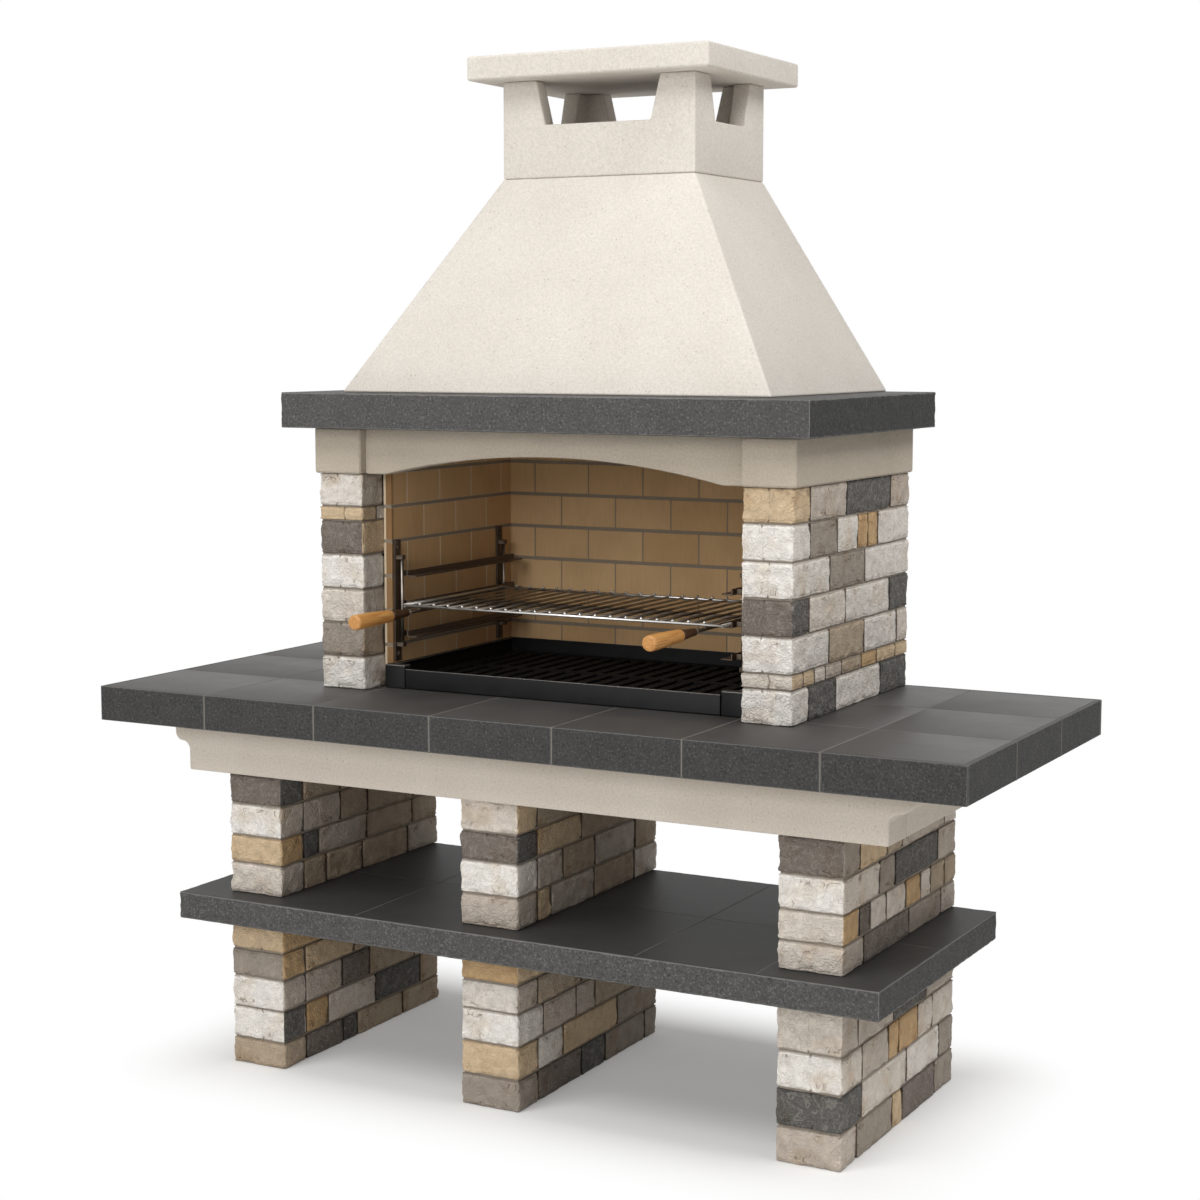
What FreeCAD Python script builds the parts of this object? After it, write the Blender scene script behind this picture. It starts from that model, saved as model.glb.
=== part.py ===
"""A free-standing masonry barbecue: stone piers carry a shelf and a tiled worktop, and on the
worktop stands a stone firebox with a firebrick lining, a mantel, a smoke hood and a chimney.

Millimetres. X runs to the right, Y to the back and Z up. The origin is on the ground, under the
middle of the whole object.
"""
import FreeCAD
import Part
import Sketcher
import os
import re

doc = FreeCAD.newDocument("masonry_barbecue")
sheet = doc.addObject("Spreadsheet::Sheet", "sizes")

# Every size that can be set by itself.
SIZES = {
    # worktop: whole tiles each way, on a cast slab
    "tile_size": 300,
    "tiles_across": 7,
    "tiles_deep": 3,
    "tile_thickness": 10,
    "tile_joint": 3,
    "grout_recess": 1,
    "worktop_thickness": 80,
    # stones and the mortar between them
    "course_high": 68,
    "course_low": 58,
    "block_course": 74,
    "wall_course": 72,
    "wall_thin_course": 26,
    "stone_closer": 60,
    "stone_header": 90,
    "stone_half": 115,
    "stone_bat": 150,
    "stone_stretcher": 200,
    "stone_long": 260,
    "stone_arris": 5,
    "mortar_joint": 6,
    "mortar_recess": 7,
    # piers, shelf and the beams on the piers
    "pier_width": 150,
    "pier_depth": 670,
    "pier_setback": 100,
    "worktop_end_overhang": 285,
    "middle_pier_offset": 65,
    "shelf_end_overhang": 100,
    "shelf_depth": 720,
    "shelf_thickness": 62,
    "shelf_overhang": 60,
    "shelf_left_joint": 381,
    "shelf_right_joint": 320,
    "shelf_end_joint": 596,
    "shelf_joint_width": 3,
    "shelf_joint_depth": 2,
    "slab_arris": 4,
    "beam_end_overhang": 97,
    "beam_height": 114,
    "beam_thickness": 100,
    "beam_overhang": 15,
    "ogee_radius": 20,
    "ogee_lip": 28,
    # firebox walls, lining and lintels
    "firebox_width": 1184,
    "firebox_depth": 670,
    "wall_thickness": 122,
    "pillar_depth": 85,
    "lining_thickness": 22,
    "back_wall_thickness": 28,
    "brick_length": 140,
    "brick_height": 72,
    "footing_course": 92,
    "brick_joint": 8,
    "lining_bed": 6,
    "lintel_height": 104,
    "lintel_overhang": 5,
    "lintel_inset": 2,
    "arch_recess": 20,
    "arch_haunch": 52,
    "arch_rise": 48,
    # mantel, hood and chimney
    "mantel_end_overhang": 58,
    "mantel_overhang": 61,
    "mantel_thickness": 80,
    "throat_ledge": 20,
    "hood_end_setback": 118,
    "hood_setback": 74,
    "hood_height": 480,
    "hood_wall": 40,
    "flue_width": 484,
    "flue_depth": 363,
    "flue_back_inset": 60,
    "flue_height": 217,
    "flue_wall": 42,
    "window_sill": 118,
    "front_window_bottom": 264,
    "front_window_top": 312,
    "side_window_bottom": 152,
    "side_window_top": 208,
    "cap_overhang": 60,
    "cap_thickness": 54,
    # fire pan, ash drawer and charcoal grate
    "pan_clearance": 4,
    "pan_height": 55,
    "pan_lip": 13,
    "sheet_steel": 3,
    "ledge_width": 26,
    "ledge_height": 14,
    "post_width": 54,
    "post_depth": 25,
    "post_overlap": 10,
    "post_arris": 2,
    "drawer_clearance": 2,
    "drawer_front_height": 46,
    "drawer_lip": 10,
    "tray_depth": 10,
    "tray_back_gap": 12,
    "grate_thickness": 6,
    "grate_gap": 19,
    "grate_end_gap": 5,
    "grate_border": 20,
    "grate_slot": 20,
    "grate_bar": 22,
    # racks at both sides of the firebox
    "upright_width": 25,
    "upright_thickness": 5,
    "upright_height": 280,
    "upright_gap": 3,
    "front_upright_inset": 17,
    "back_upright_inset": 60,
    "lug_reach": 17,
    "lug_height": 10,
    "lug_width": 14,
    "lug_inset": 34,
    "guide_rod_diameter": 8,
    "guide_rod_inset": 11,
    "bolt_head_diameter": 12,
    "bolt_head_height": 4,
    "bolt_inset": 16,
    "rail_seat": 189,
    "rail_pitch": 70,
    "rail_tread": 27,
    "rail_flange": 14,
    "rail_arm_height": 12,
    # cooking grill and its handles
    "grill_side_gap": 43,
    "grill_clearance": 4,
    "grill_reach": 60,
    "grill_depth": 442,
    "grill_bar": 8,
    "weld_gap": 0.3,
    "grill_rod_diameter": 6,
    "grill_rod_pitch": 37,
    "crossbar_inset": 210,
    "handle_inset": 45,
    "handle_rod_diameter": 8,
    "handle_gap": 1,
    "handle_reach": 40,
    "tang_length": 40,
    "tang_clearance": 0.3,
    "ferrule_length": 8,
    "ferrule_diameter": 15,
    "neck_length": 70,
    "neck_diameter": 22,
    "grip_length": 142,
    "grip_diameter": 34,
    "grip_bevel": 3,
}

# Sizes and places that follow from the sizes above.
PLACES = {
    "worktop_width": "tiles_across * tile_size",
    "worktop_depth": "tiles_deep * tile_size",
    "front": "-worktop_depth / 2",
    "back": "worktop_depth / 2",
    "outer_pier_spacing": "worktop_width - 2 * worktop_end_overhang - pier_width",
    "pier_front": "front + pier_setback",
    "block_top_course": "shelf_bottom - 3 * (block_course + mortar_joint)",
    "tall_course": "2 * course_high - course_low",
    "shelf_width": "outer_pier_spacing + pier_width + 2 * shelf_end_overhang",
    "shelf_front": "pier_front - shelf_overhang",
    "shelf_bottom": "3 * course_high + 2 * course_low + 4 * mortar_joint",
    "shelf_top": "shelf_bottom + shelf_thickness",
    "beam_length": "outer_pier_spacing + pier_width + 2 * beam_end_overhang",
    "beam_front": "pier_front - beam_overhang",
    "beam_back": "pier_front + pier_depth + beam_overhang",
    "beam_bottom": "shelf_top + 3 * course_high + course_low + 3 * mortar_joint",
    "slab_bottom": "beam_bottom + beam_height",
    "worktop_top": "slab_bottom + worktop_thickness",
    "firebox_front": "back - firebox_depth",
    "wall_inside": "firebox_width / 2 - wall_thickness",
    "lining_front": "firebox_front + pillar_depth",
    "lining_back": "back - back_wall_thickness",
    "lining_height": "mantel_bottom - worktop_top",
    "room_half": "wall_inside - lining_thickness",
    "room_back": "lining_back - lining_thickness",
    "lintel_bottom": "worktop_top + 6 * wall_course + wall_thin_course + 6 * mortar_joint",
    "lintel_inside": "wall_inside + lintel_inset",
    "lintel_front": "firebox_front - lintel_overhang",
    "arch_front": "lintel_front + arch_recess",
    "arch_span": "2 * (lintel_inside - arch_haunch)",
    "arch_thickness": "lining_front - arch_front",
    "mantel_bottom": "lintel_bottom + lintel_height",
    "mantel_width": "firebox_width + 2 * mantel_end_overhang",
    "mantel_front": "firebox_front - mantel_overhang",
    "hood_bottom": "mantel_bottom + mantel_thickness",
    "hood_base_width": "mantel_width - 2 * hood_end_setback",
    "hood_front": "mantel_front + hood_setback",
    "flue_bottom": "hood_bottom + hood_height",
    "flue_back": "back - flue_back_inset",
    "flue_front": "flue_back - flue_depth",
    "flue_middle": "flue_back - flue_depth / 2",
    "cap_bottom": "flue_bottom + flue_height",
    "pan_half": "room_half - pan_clearance",
    "pan_front": "lining_front",
    "pan_back": "room_back - pan_clearance",
    "post_front": "pan_front - post_depth",
    "ledge_bottom": "worktop_top + ledge_height",
    "ledge_top": "ledge_bottom + sheet_steel",
    "post_inside": "pan_half + post_overlap - post_width",
    "drawer_half": "post_inside - drawer_clearance",
    "upright_bottom": "worktop_top + pan_height + upright_gap",
    "upright_face": "room_half - upright_thickness",
    "grill_half": "room_half - grill_side_gap",
    "grill_front": "firebox_front + grill_reach",
    "grill_bottom": "worktop_top + rail_seat",
    "rail_inside": "grill_half + grill_clearance",
    "handle_x": "grill_half - handle_inset",
    "handle_z": "grill_bottom - handle_rod_diameter / 2 - handle_gap",
    "crossbar_front": "grill_front + crossbar_inset",
    "ferrule_back": "grill_front - handle_reach",
    "neck_back": "ferrule_back - ferrule_length",
    "grip_back": "neck_back - neck_length",
}

for row, (alias, size) in enumerate(SIZES.items(), start=1):
    sheet.set(f"A{row}", str(size))
    sheet.setAlias(f"A{row}", alias)
doc.recompute()

nodes = []


def formula(text):
    """Write a formula of sizes and places out in terms of the sheet's cells."""
    def spell(match):
        word = match.group(0)
        if word in PLACES:
            return "(" + formula(PLACES[word]) + ")"
        return "sizes." + word
    return re.sub(r"[a-z_]{2,}", spell, text)


def value(text):
    """What a formula comes to with the sizes in the sheet."""
    return float(sheet.evalExpression(formula(text)))


def bind(thing, formulas):
    for setting, text in formulas.items():
        thing.setExpression(setting, formula(text))


def node(thing, label):
    """Give a finished sub-part its name and keep it for the export."""
    thing.Label = label
    nodes.append(thing)
    return thing


def box(name, corner, spans):
    """A box from its lowest corner and its three spans, all formulas."""
    thing = doc.addObject("Part::Box", name)
    bind(thing, dict(zip(("Placement.Base.x", "Placement.Base.y", "Placement.Base.z"), corner)))
    bind(thing, dict(zip(("Length", "Width", "Height"), spans)))
    return thing


def bar(name, kind, start, turn, diameter, length):
    """A bar with flat sides from its start point, turned from upright about X or Y."""
    thing = doc.addObject("Part::Prism", name)
    thing.Polygon = FLATS[kind]
    axis, angle = turn
    thing.Placement.Rotation = FreeCAD.Rotation(axis, angle)
    bind(thing, dict(zip(("Placement.Base.x", "Placement.Base.y", "Placement.Base.z"), start)))
    bind(thing, {"Circumradius": f"({diameter}) / 2", "Height": length})
    return thing


# Round bars that repeat are made with twelve flats, and bolt heads with six.
FLATS = {"round": 12, "hexagon": 6}
UPRIGHT = (FreeCAD.Vector(1, 0, 0), 0)
TO_THE_BACK = (FreeCAD.Vector(1, 0, 0), -90)


def fuse(name, things):
    joined = doc.addObject("Part::MultiFuse", name)
    joined.Shapes = things
    joined.Refine = True
    return joined


def group(label, things):
    """One node of separate like solids."""
    compound = doc.addObject("Part::Compound", label)
    compound.Links = things
    return node(compound, label)


def sided(side, inner, width):
    """Lowest X of a piece whose inner face is that far from the middle, on the left or the right."""
    if side > 0:
        return inner
    return f"-({inner}) - ({width})"


SIDES = {"left": -1, "right": 1}

# Arrises of a box: the edges that lie on the faces named by axis (0 X, 1 Y, 2 Z) and end (0 low, 1 high).
UNIT_BOX = Part.makeBox(1, 1, 1)


def edges_on(*faces):
    found = set()
    for number, edge in enumerate(UNIT_BOX.Edges, start=1):
        for axis, end in faces:
            if all(abs(corner.Point[axis] - end) < 0.5 for corner in edge.Vertexes):
                found.add(number)
    return sorted(found)


def arrised(name, block, edges, size):
    """A box with some of its edges knocked off."""
    thing = doc.addObject("Part::Chamfer", name)
    thing.Base = block
    width = value(size)
    thing.Edges = [(edge, width, width) for edge in edges]
    return thing


def plane(body, role):
    return next(item for item in body.Origin.OriginFeatures if item.Role == role)


def profile(body, name, role, corners, arcs=None, offset=None):
    """A closed outline on one of the body's planes. Each corner is a pair of formulas. arcs gives, for
    the run that starts at a corner, its radius and its turn (1 to the left, -1 to the right)."""
    sketch = body.newObject("Sketcher::SketchObject", name)
    sketch.AttachmentSupport = [(plane(body, role), "")]
    sketch.MapMode = "FlatFace"
    if offset:
        bind(sketch, {"AttachmentOffset.Base.z": offset})
    arcs = arcs or {}
    points = [FreeCAD.Vector(value(across), value(up), 0) for across, up in corners]
    ends = []
    for run, start in enumerate(points):
        stop = points[(run + 1) % len(points)]
        if run not in arcs:
            sketch.addGeometry(Part.LineSegment(start, stop))
            ends.append((1, 2))
            continue
        radius, turn = arcs[run]
        chord = stop - start
        left = FreeCAD.Vector(-chord.y, chord.x, 0).normalize()
        rise = (max(value(radius) ** 2 - chord.Length ** 2 / 4, 0)) ** 0.5
        centre = (start + stop) / 2 + left * (rise * turn)
        circle = Part.Circle(centre, FreeCAD.Vector(0, 0, 1), value(radius))
        first, last = (start, stop) if turn > 0 else (stop, start)
        sketch.addGeometry(Part.ArcOfCircle(circle, circle.parameter(first), circle.parameter(last)))
        ends.append((1, 2) if turn > 0 else (2, 1))
    for run, (_, stop_end) in enumerate(ends):
        after = (run + 1) % len(points)
        sketch.addConstraint(Sketcher.Constraint("Coincident", run, stop_end, after, ends[after][0]))
    for run, (across, up) in enumerate(corners):
        for kind, text in (("DistanceX", across), ("DistanceY", up)):
            rule = Sketcher.Constraint(kind, -1, 1, run, ends[run][0], value(text))
            number = sketch.addConstraint(rule)
            bind(sketch, {f"Constraints[{number}]": text})
    for run, (radius, _) in arcs.items():
        number = sketch.addConstraint(Sketcher.Constraint("Radius", run, value(radius)))
        bind(sketch, {f"Constraints[{number}]": radius})
    return sketch


def rectangle(body, name, role, low, high, offset=None):
    corners = [(low[0], low[1]), (high[0], low[1]), (high[0], high[1]), (low[0], high[1])]
    return profile(body, name, role, corners, offset=offset)


def pad(body, name, sketch, length):
    feature = body.newObject("PartDesign::Pad", name)
    feature.Profile = sketch
    bind(feature, {"Length": length})
    return feature


def pocket(body, name, sketch, length=None):
    """Cut a sketch into the body, right through it where no length is given."""
    doc.recompute()
    before = body.Shape.Volume
    feature = body.newObject("PartDesign::Pocket", name)
    feature.Profile = sketch
    if length:
        bind(feature, {"Length": length})
    else:
        feature.Type = "ThroughAll"
    doc.recompute()
    if feature.Shape.Volume >= before:
        raise RuntimeError(f"{name} cuts nothing")
    return feature


def bevel(body, name, base, chosen, size):
    """Knock off the edges of a feature for which chosen says yes."""
    doc.recompute()
    feature = body.newObject("PartDesign::Chamfer", name)
    picked = [f"Edge{number}" for number, edge in enumerate(base.Shape.Edges, start=1) if chosen(edge)]
    feature.Base = (base, picked)
    bind(feature, {"Size": size})
    return feature


# Stone stacks. Each course, from the bottom up, is its height and its stones from the front to the
# back. The last stone of a course is cut to close it.
SHORTEST_STONE = "stone_closer"
LOWER_PIERS = {
    "left": [
        ("course_low", "header bat closer stretcher"),
        ("course_high", "header header stretcher stretcher"),
        ("course_high", "header bat half stretcher"),
        ("course_low", "header stretcher stretcher"),
        ("course_high", "bat stretcher half"),
    ],
    "middle": [
        ("course_high", "header stretcher half stretcher"),
        ("course_high", "header half long"),
        ("course_high", "half bat header stretcher"),
        ("course_low", "header stretcher bat half"),
        ("course_low", "bat header stretcher"),
    ],
    "right": [
        ("block_course", "header stretcher closer stretcher"),
        ("block_course", "half long stretcher"),
        ("block_course", "half bat closer half header"),
        ("block_top_course", "header stretcher stretcher"),
    ],
}
UPPER_PIERS = {
    "left": [
        ("course_high", "header header bat stretcher"),
        ("course_low", "header closer stretcher stretcher"),
        ("course_high", "header bat half stretcher"),
        ("course_high", "header bat bat bat"),
    ],
    "middle": [
        ("course_high", "header closer stretcher stretcher"),
        ("course_high", "header half bat stretcher"),
        ("course_low", "header stretcher long"),
        ("course_high", "header stretcher half bat"),
    ],
    "right": [
        ("course_low", "half long stretcher"),
        ("course_low", "header closer header half header closer header"),
        ("course_high", "stretcher header long"),
        ("tall_course", "header bat header long"),
    ],
}
FIREBOX_WALLS = {
    "left": [
        ("wall_course", "bat header long"),
        ("wall_course", "header long stretcher"),
        ("wall_course", "stretcher bat stretcher"),
        ("wall_course", "header stretcher half bat"),
        ("wall_course", "bat stretcher stretcher"),
        ("wall_thin_course", "closer half header closer half header closer"),
        ("wall_course", "header long bat"),
    ],
    "right": [
        ("wall_course", "header bat long"),
        ("wall_thin_course", "closer closer closer header half header half"),
        ("wall_course", "stretcher stretcher stretcher"),
        ("wall_course", "header stretcher long"),
        ("wall_course", "stretcher stretcher"),
        ("wall_course", "header bat half closer closer"),
        ("wall_course", "header stretcher long"),
    ],
}
PIER_LEFT = {
    "left": "-outer_pier_spacing / 2 - pier_width / 2",
    "middle": "-middle_pier_offset - pier_width / 2",
    "right": "outer_pier_spacing / 2 - pier_width / 2",
}


def lay_course(bond, depth):
    """Where each stone of a course starts and how long it is, as formulas."""
    starts = "0"
    laid = []
    for word in bond.split():
        after = f"{starts} + stone_{word}"
        if value(f"{after} + {SHORTEST_STONE}") > value(depth):
            break
        laid.append((starts, f"stone_{word}"))
        starts = after
    laid.append((starts, f"{depth} - ({starts})"))
    return laid


def stone_stack(label, courses, left, front, bottom, width, depth):
    """A pier or a wall of stones as wide as the stack, tight in their courses, and the mortar beds
    between the courses, which lie back from the face."""
    stones = []
    mortar = []
    level = bottom
    for course, (height, bond) in enumerate(courses):
        if course:
            bed = (f"{left} + mortar_recess", f"{front} + mortar_recess", f"{level} - mortar_joint")
            spans = (f"{width} - 2 * mortar_recess", f"{depth} - 2 * mortar_recess", "mortar_joint")
            mortar.append(box(f"{label}_bed_{course}", bed, spans))
        laid = lay_course(bond, depth)
        for place, (start, length) in enumerate(laid):
            name = f"{label}_{course}_{place}"
            block = box(f"{name}_block", (left, f"{front} + {start}", level), (width, length, height))
            ends = [(0, 0), (0, 1)]
            if place == 0:
                ends.append((1, 0))
            if place == len(laid) - 1:
                ends.append((1, 1))
            stones.append(arrised(name, block, edges_on(*ends), "stone_arris"))
        level = f"{level} + {height} + mortar_joint"
    group(f"{label}_stones", stones)
    return mortar


def pier_row(level_name, stacks, bottom):
    beds = []
    for place, courses in stacks.items():
        label = f"{level_name}_{place}_pier"
        beds += stone_stack(label, courses, PIER_LEFT[place], "pier_front", bottom,
                            "pier_width", "pier_depth")
    group(f"{level_name}_pier_mortar", beds)


pier_row("lower", LOWER_PIERS, "0")
pier_row("upper", UPPER_PIERS, "shelf_top")

# Shelf: a cast slab between the two rows of piers, with shallow joints in its top.
shelf = node(doc.addObject("PartDesign::Body", "shelf_slab"), "shelf_slab")
bind(shelf, {"Placement.Base.z": "shelf_bottom"})
shelf_low = ("-shelf_width / 2", "shelf_front")
shelf_high = ("shelf_width / 2", "shelf_front + shelf_depth")
shelf_pad = pad(shelf, "shelf_pad", rectangle(shelf, "shelf_plan", "XY_Plane", shelf_low, shelf_high),
                "shelf_thickness")
shelf_edge = bevel(shelf, "shelf_edge", shelf_pad, lambda edge: True, "slab_arris")
for joint_name, joint_x in (("left", "-shelf_left_joint"), ("right", "shelf_right_joint"),
                            ("end", "shelf_end_joint")):
    groove = rectangle(shelf, f"shelf_{joint_name}_joint", "XY_Plane",
                       (f"{joint_x} - shelf_joint_width / 2", "shelf_front"),
                       (f"{joint_x} + shelf_joint_width / 2", "shelf_front + shelf_depth"),
                       offset="shelf_thickness")
    pocket(shelf, f"shelf_{joint_name}_groove", groove, "shelf_joint_depth")
shelf_middle = "shelf_front + shelf_depth / 2"
cross_groove = rectangle(shelf, "shelf_cross_joint", "XY_Plane",
                         ("-shelf_width / 2", f"{shelf_middle} - shelf_joint_width / 2"),
                         ("shelf_width / 2", f"{shelf_middle} + shelf_joint_width / 2"),
                         offset="shelf_thickness")
pocket(shelf, "shelf_cross_groove", cross_groove, "shelf_joint_depth")


# Beams: a cast ring under the worktop. Its ends flare out to the lip in an ogee.
def beam_end(side):
    """Corners and arcs of one flared end, from the bottom up."""
    sign = "-" if side < 0 else ""
    foot = "beam_length / 2"
    lip = "beam_length / 2 + 2 * ogee_radius"
    corners = [(f"{sign}({foot})", "beam_bottom"),
               (f"{sign}({foot})", "slab_bottom - ogee_lip - 2 * ogee_radius"),
               (f"{sign}({foot} + ogee_radius)", "slab_bottom - ogee_lip - ogee_radius"),
               (f"{sign}({lip})", "slab_bottom - ogee_lip"),
               (f"{sign}({lip})", "slab_bottom")]
    return corners


def cross_beam(label, back_face):
    body = node(doc.addObject("PartDesign::Body", label), label)
    bind(body, {"Placement.Base.y": back_face})
    corners = beam_end(1) + beam_end(-1)[::-1]
    arcs = {1: ("ogee_radius", -1), 2: ("ogee_radius", 1), 6: ("ogee_radius", 1), 7: ("ogee_radius", -1)}
    outline = profile(body, f"{label}_outline", "XZ_Plane", corners, arcs)
    pad(body, f"{label}_pad", outline, "beam_thickness")


def side_beam(label, side):
    body = node(doc.addObject("PartDesign::Body", label), label)
    bind(body, {"Placement.Base.y": "beam_back - beam_thickness"})
    sign = "-" if side < 0 else ""
    inner = f"{sign}(beam_length / 2 - beam_thickness)"
    corners = [(inner, "beam_bottom")] + beam_end(side) + [(inner, "slab_bottom")]
    arcs = {2: ("ogee_radius", -side), 3: ("ogee_radius", side)}
    outline = profile(body, f"{label}_outline", "XZ_Plane", corners, arcs)
    pad(body, f"{label}_pad", outline, "beam_back - beam_front - 2 * beam_thickness")


cross_beam("front_beam", "beam_front + beam_thickness")
cross_beam("rear_beam", "beam_back")
for side_name, side in SIDES.items():
    side_beam(f"{side_name}_side_beam", side)

# Worktop: a cast slab with square tiles on top, a band of edge tiles all round and grout between.
node(box("worktop_slab",
         ("-worktop_width / 2 + tile_thickness", "front + tile_thickness", "slab_bottom"),
         ("worktop_width - 2 * tile_thickness", "worktop_depth - 2 * tile_thickness",
          "worktop_thickness - tile_thickness")), "worktop_slab")


def tile_runs(origin, count):
    """Start and length of each tile in a row between two edge bands."""
    runs = []
    for place in range(count):
        start = f"{origin} + {place} * tile_size + tile_joint / 2"
        stop = f"{origin} + {place + 1} * tile_size - tile_joint / 2"
        if place == 0:
            start = f"{origin} + tile_thickness"
        if place == count - 1:
            stop = f"{origin} + {count} * tile_size - tile_thickness"
        runs.append((start, f"{stop} - ({start})"))
    return runs


tiles_across = int(value("tiles_across"))
tiles_deep = int(value("tiles_deep"))
tile_columns = tile_runs("-worktop_width / 2", tiles_across)
tile_rows = tile_runs("front", tiles_deep)
top_tiles = []
for column, (tile_x, tile_length) in enumerate(tile_columns):
    for row, (tile_y, tile_width) in enumerate(tile_rows):
        top_tiles.append(box(f"top_tile_{column}_{row}", (tile_x, tile_y, "worktop_top - tile_thickness"),
                             (tile_length, tile_width, "tile_thickness")))
group("worktop_top_tiles", top_tiles)

edge_tiles = []
grout = []
for band, band_y in (("front", "front"), ("back", "back - tile_thickness")):
    for column, (tile_x, tile_length) in enumerate(tile_columns):
        first = " - tile_thickness" if column == 0 else ""
        ends = (column == 0) + (column == tiles_across - 1)
        edge_tiles.append(box(f"{band}_edge_tile_{column}", (tile_x + first, band_y, "slab_bottom"),
                              (f"{tile_length} + {ends} * tile_thickness", "tile_thickness",
                               "worktop_thickness")))
        if column:
            recess = "grout_recess" if band == "front" else "0"
            grout.append(box(f"{band}_edge_grout_{column}",
                             (f"{tile_x} - tile_joint", f"{band_y} + {recess}", "slab_bottom"),
                             ("tile_joint", "tile_thickness - grout_recess",
                              "worktop_thickness - grout_recess")))
for side_name, side in SIDES.items():
    band_x = sided(side, "worktop_width / 2 - tile_thickness", "tile_thickness")
    for row, (tile_y, tile_width) in enumerate(tile_rows):
        edge_tiles.append(box(f"{side_name}_edge_tile_{row}", (band_x, tile_y, "slab_bottom"),
                              ("tile_thickness", tile_width, "worktop_thickness")))
        if row:
            recess = "grout_recess" if side < 0 else "0"
            grout.append(box(f"{side_name}_edge_grout_{row}",
                             (f"{band_x} + {recess}", f"{tile_y} - tile_joint", "slab_bottom"),
                             ("tile_thickness - grout_recess", "tile_joint",
                              "worktop_thickness - grout_recess")))
group("worktop_edge_tiles", edge_tiles)

grout_z = "worktop_top - tile_thickness"
grout_depth = "tile_thickness - grout_recess"
top_grout = []
for column, (tile_x, _) in enumerate(tile_columns[1:]):
    top_grout.append(box(f"top_grout_column_{column}",
                         (f"{tile_x} - tile_joint", "front + tile_thickness", grout_z),
                         ("tile_joint", "worktop_depth - 2 * tile_thickness", grout_depth)))
for row, (tile_y, _) in enumerate(tile_rows[1:]):
    top_grout.append(box(f"top_grout_row_{row}",
                         ("-worktop_width / 2 + tile_thickness", f"{tile_y} - tile_joint", grout_z),
                         ("worktop_width - 2 * tile_thickness", "tile_joint", grout_depth)))
group("worktop_grout", [fuse("top_grout", top_grout)] + grout)

# Firebox: two stone walls, a plain cast back wall and a lining of firebricks.
wall_beds = []
for side_name, side in SIDES.items():
    wall_left = sided(side, "wall_inside", "wall_thickness")
    wall_beds += stone_stack(f"{side_name}_firebox_wall", FIREBOX_WALLS[side_name], wall_left,
                             "firebox_front", "worktop_top", "wall_thickness", "firebox_depth")
group("firebox_wall_mortar", wall_beds)
node(box("back_wall", ("-wall_inside", "lining_back", "worktop_top"),
         ("2 * wall_inside", "back_wall_thickness", "lining_height")), "back_wall")


def lining(label, run, place):
    """Firebrick slips in running bond over a run, on a bed of mortar: a tall footing course, full courses
    and a course cut to close at the top. place turns a start along the run, a level, a length, a height, a
    standing back and a thickness into the corner and spans of a box."""
    pitch = "(brick_height + brick_joint)"
    above = "lining_height - footing_course - brick_joint"
    rows = max(1, int(value(f"{above} - brick_joint") // value(pitch)))
    heights = ["footing_course"] + ["brick_height"] * rows + [f"({above} - {rows} * {pitch})"]
    count = max(1, round(value(run) / value("brick_length + brick_joint")))
    full = f"({run} - {count - 1} * brick_joint) / {count}"
    half = f"({full} - brick_joint) / 2"
    bricks = []
    level = "worktop_top"
    for row, height in enumerate(heights):
        lengths = [full] * count
        if row % 2:
            lengths = [half] + [full] * (count - 1) + [half]
        start = "0"
        for number, length in enumerate(lengths):
            brick = place(start, level, length, height, "0", "lining_thickness - lining_bed")
            bricks.append(box(f"{label}_{row}_{number}", *brick))
            start = f"{start} + {length} + brick_joint"
        level = f"{level} + {height} + brick_joint"
    group(f"{label}_lining_bricks", bricks)
    bed = place("0", "worktop_top", run, "lining_height", "lining_thickness - lining_bed", "lining_bed")
    return box(f"{label}_lining_bed", *bed)


def back_place(start, level, length, height, standing_back, thickness):
    return ((f"-room_half + {start}", f"room_back + {standing_back}", level), (length, thickness, height))


def side_place(side):
    def place(start, level, length, height, standing_back, thickness):
        return ((sided(side, f"room_half + {standing_back}", thickness), f"lining_front + {start}", level),
                (thickness, length, height))
    return place


lining_beds = [lining("back", "2 * room_half", back_place)]
for side_name, side in SIDES.items():
    lining_beds.append(lining(side_name, "lining_back - lining_front", side_place(side)))
group("lining_mortar", lining_beds)

# Lintels: a cast block along the top of each wall, and an arch between them at the front.
ALL_EDGES = edges_on((0, 0), (0, 1), (1, 0), (1, 1))
for side_name, side in SIDES.items():
    lintel_width = "wall_thickness + lintel_overhang - lintel_inset"
    block = box(f"{side_name}_lintel_block",
                (sided(side, "lintel_inside", lintel_width), "lintel_front", "lintel_bottom"),
                (lintel_width, "back - lintel_front", "lintel_height"))
    node(arrised(f"{side_name}_side_lintel", block, ALL_EDGES, "slab_arris"), f"{side_name}_side_lintel")

arch = node(doc.addObject("PartDesign::Body", "arch_lintel"), "arch_lintel")
bind(arch, {"Placement.Base.y": "arch_front + arch_thickness"})
arch_corners = [("-lintel_inside", "lintel_bottom"), ("-arch_span / 2", "lintel_bottom"),
                ("arch_span / 2", "lintel_bottom"), ("lintel_inside", "lintel_bottom"),
                ("lintel_inside", "mantel_bottom"), ("-lintel_inside", "mantel_bottom")]
arch_radius = "(arch_span * arch_span / 4 + arch_rise * arch_rise) / (2 * arch_rise)"
pad(arch, "arch_pad", profile(arch, "arch_outline", "XZ_Plane", arch_corners, {1: (arch_radius, -1)}),
    "arch_thickness")

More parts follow.
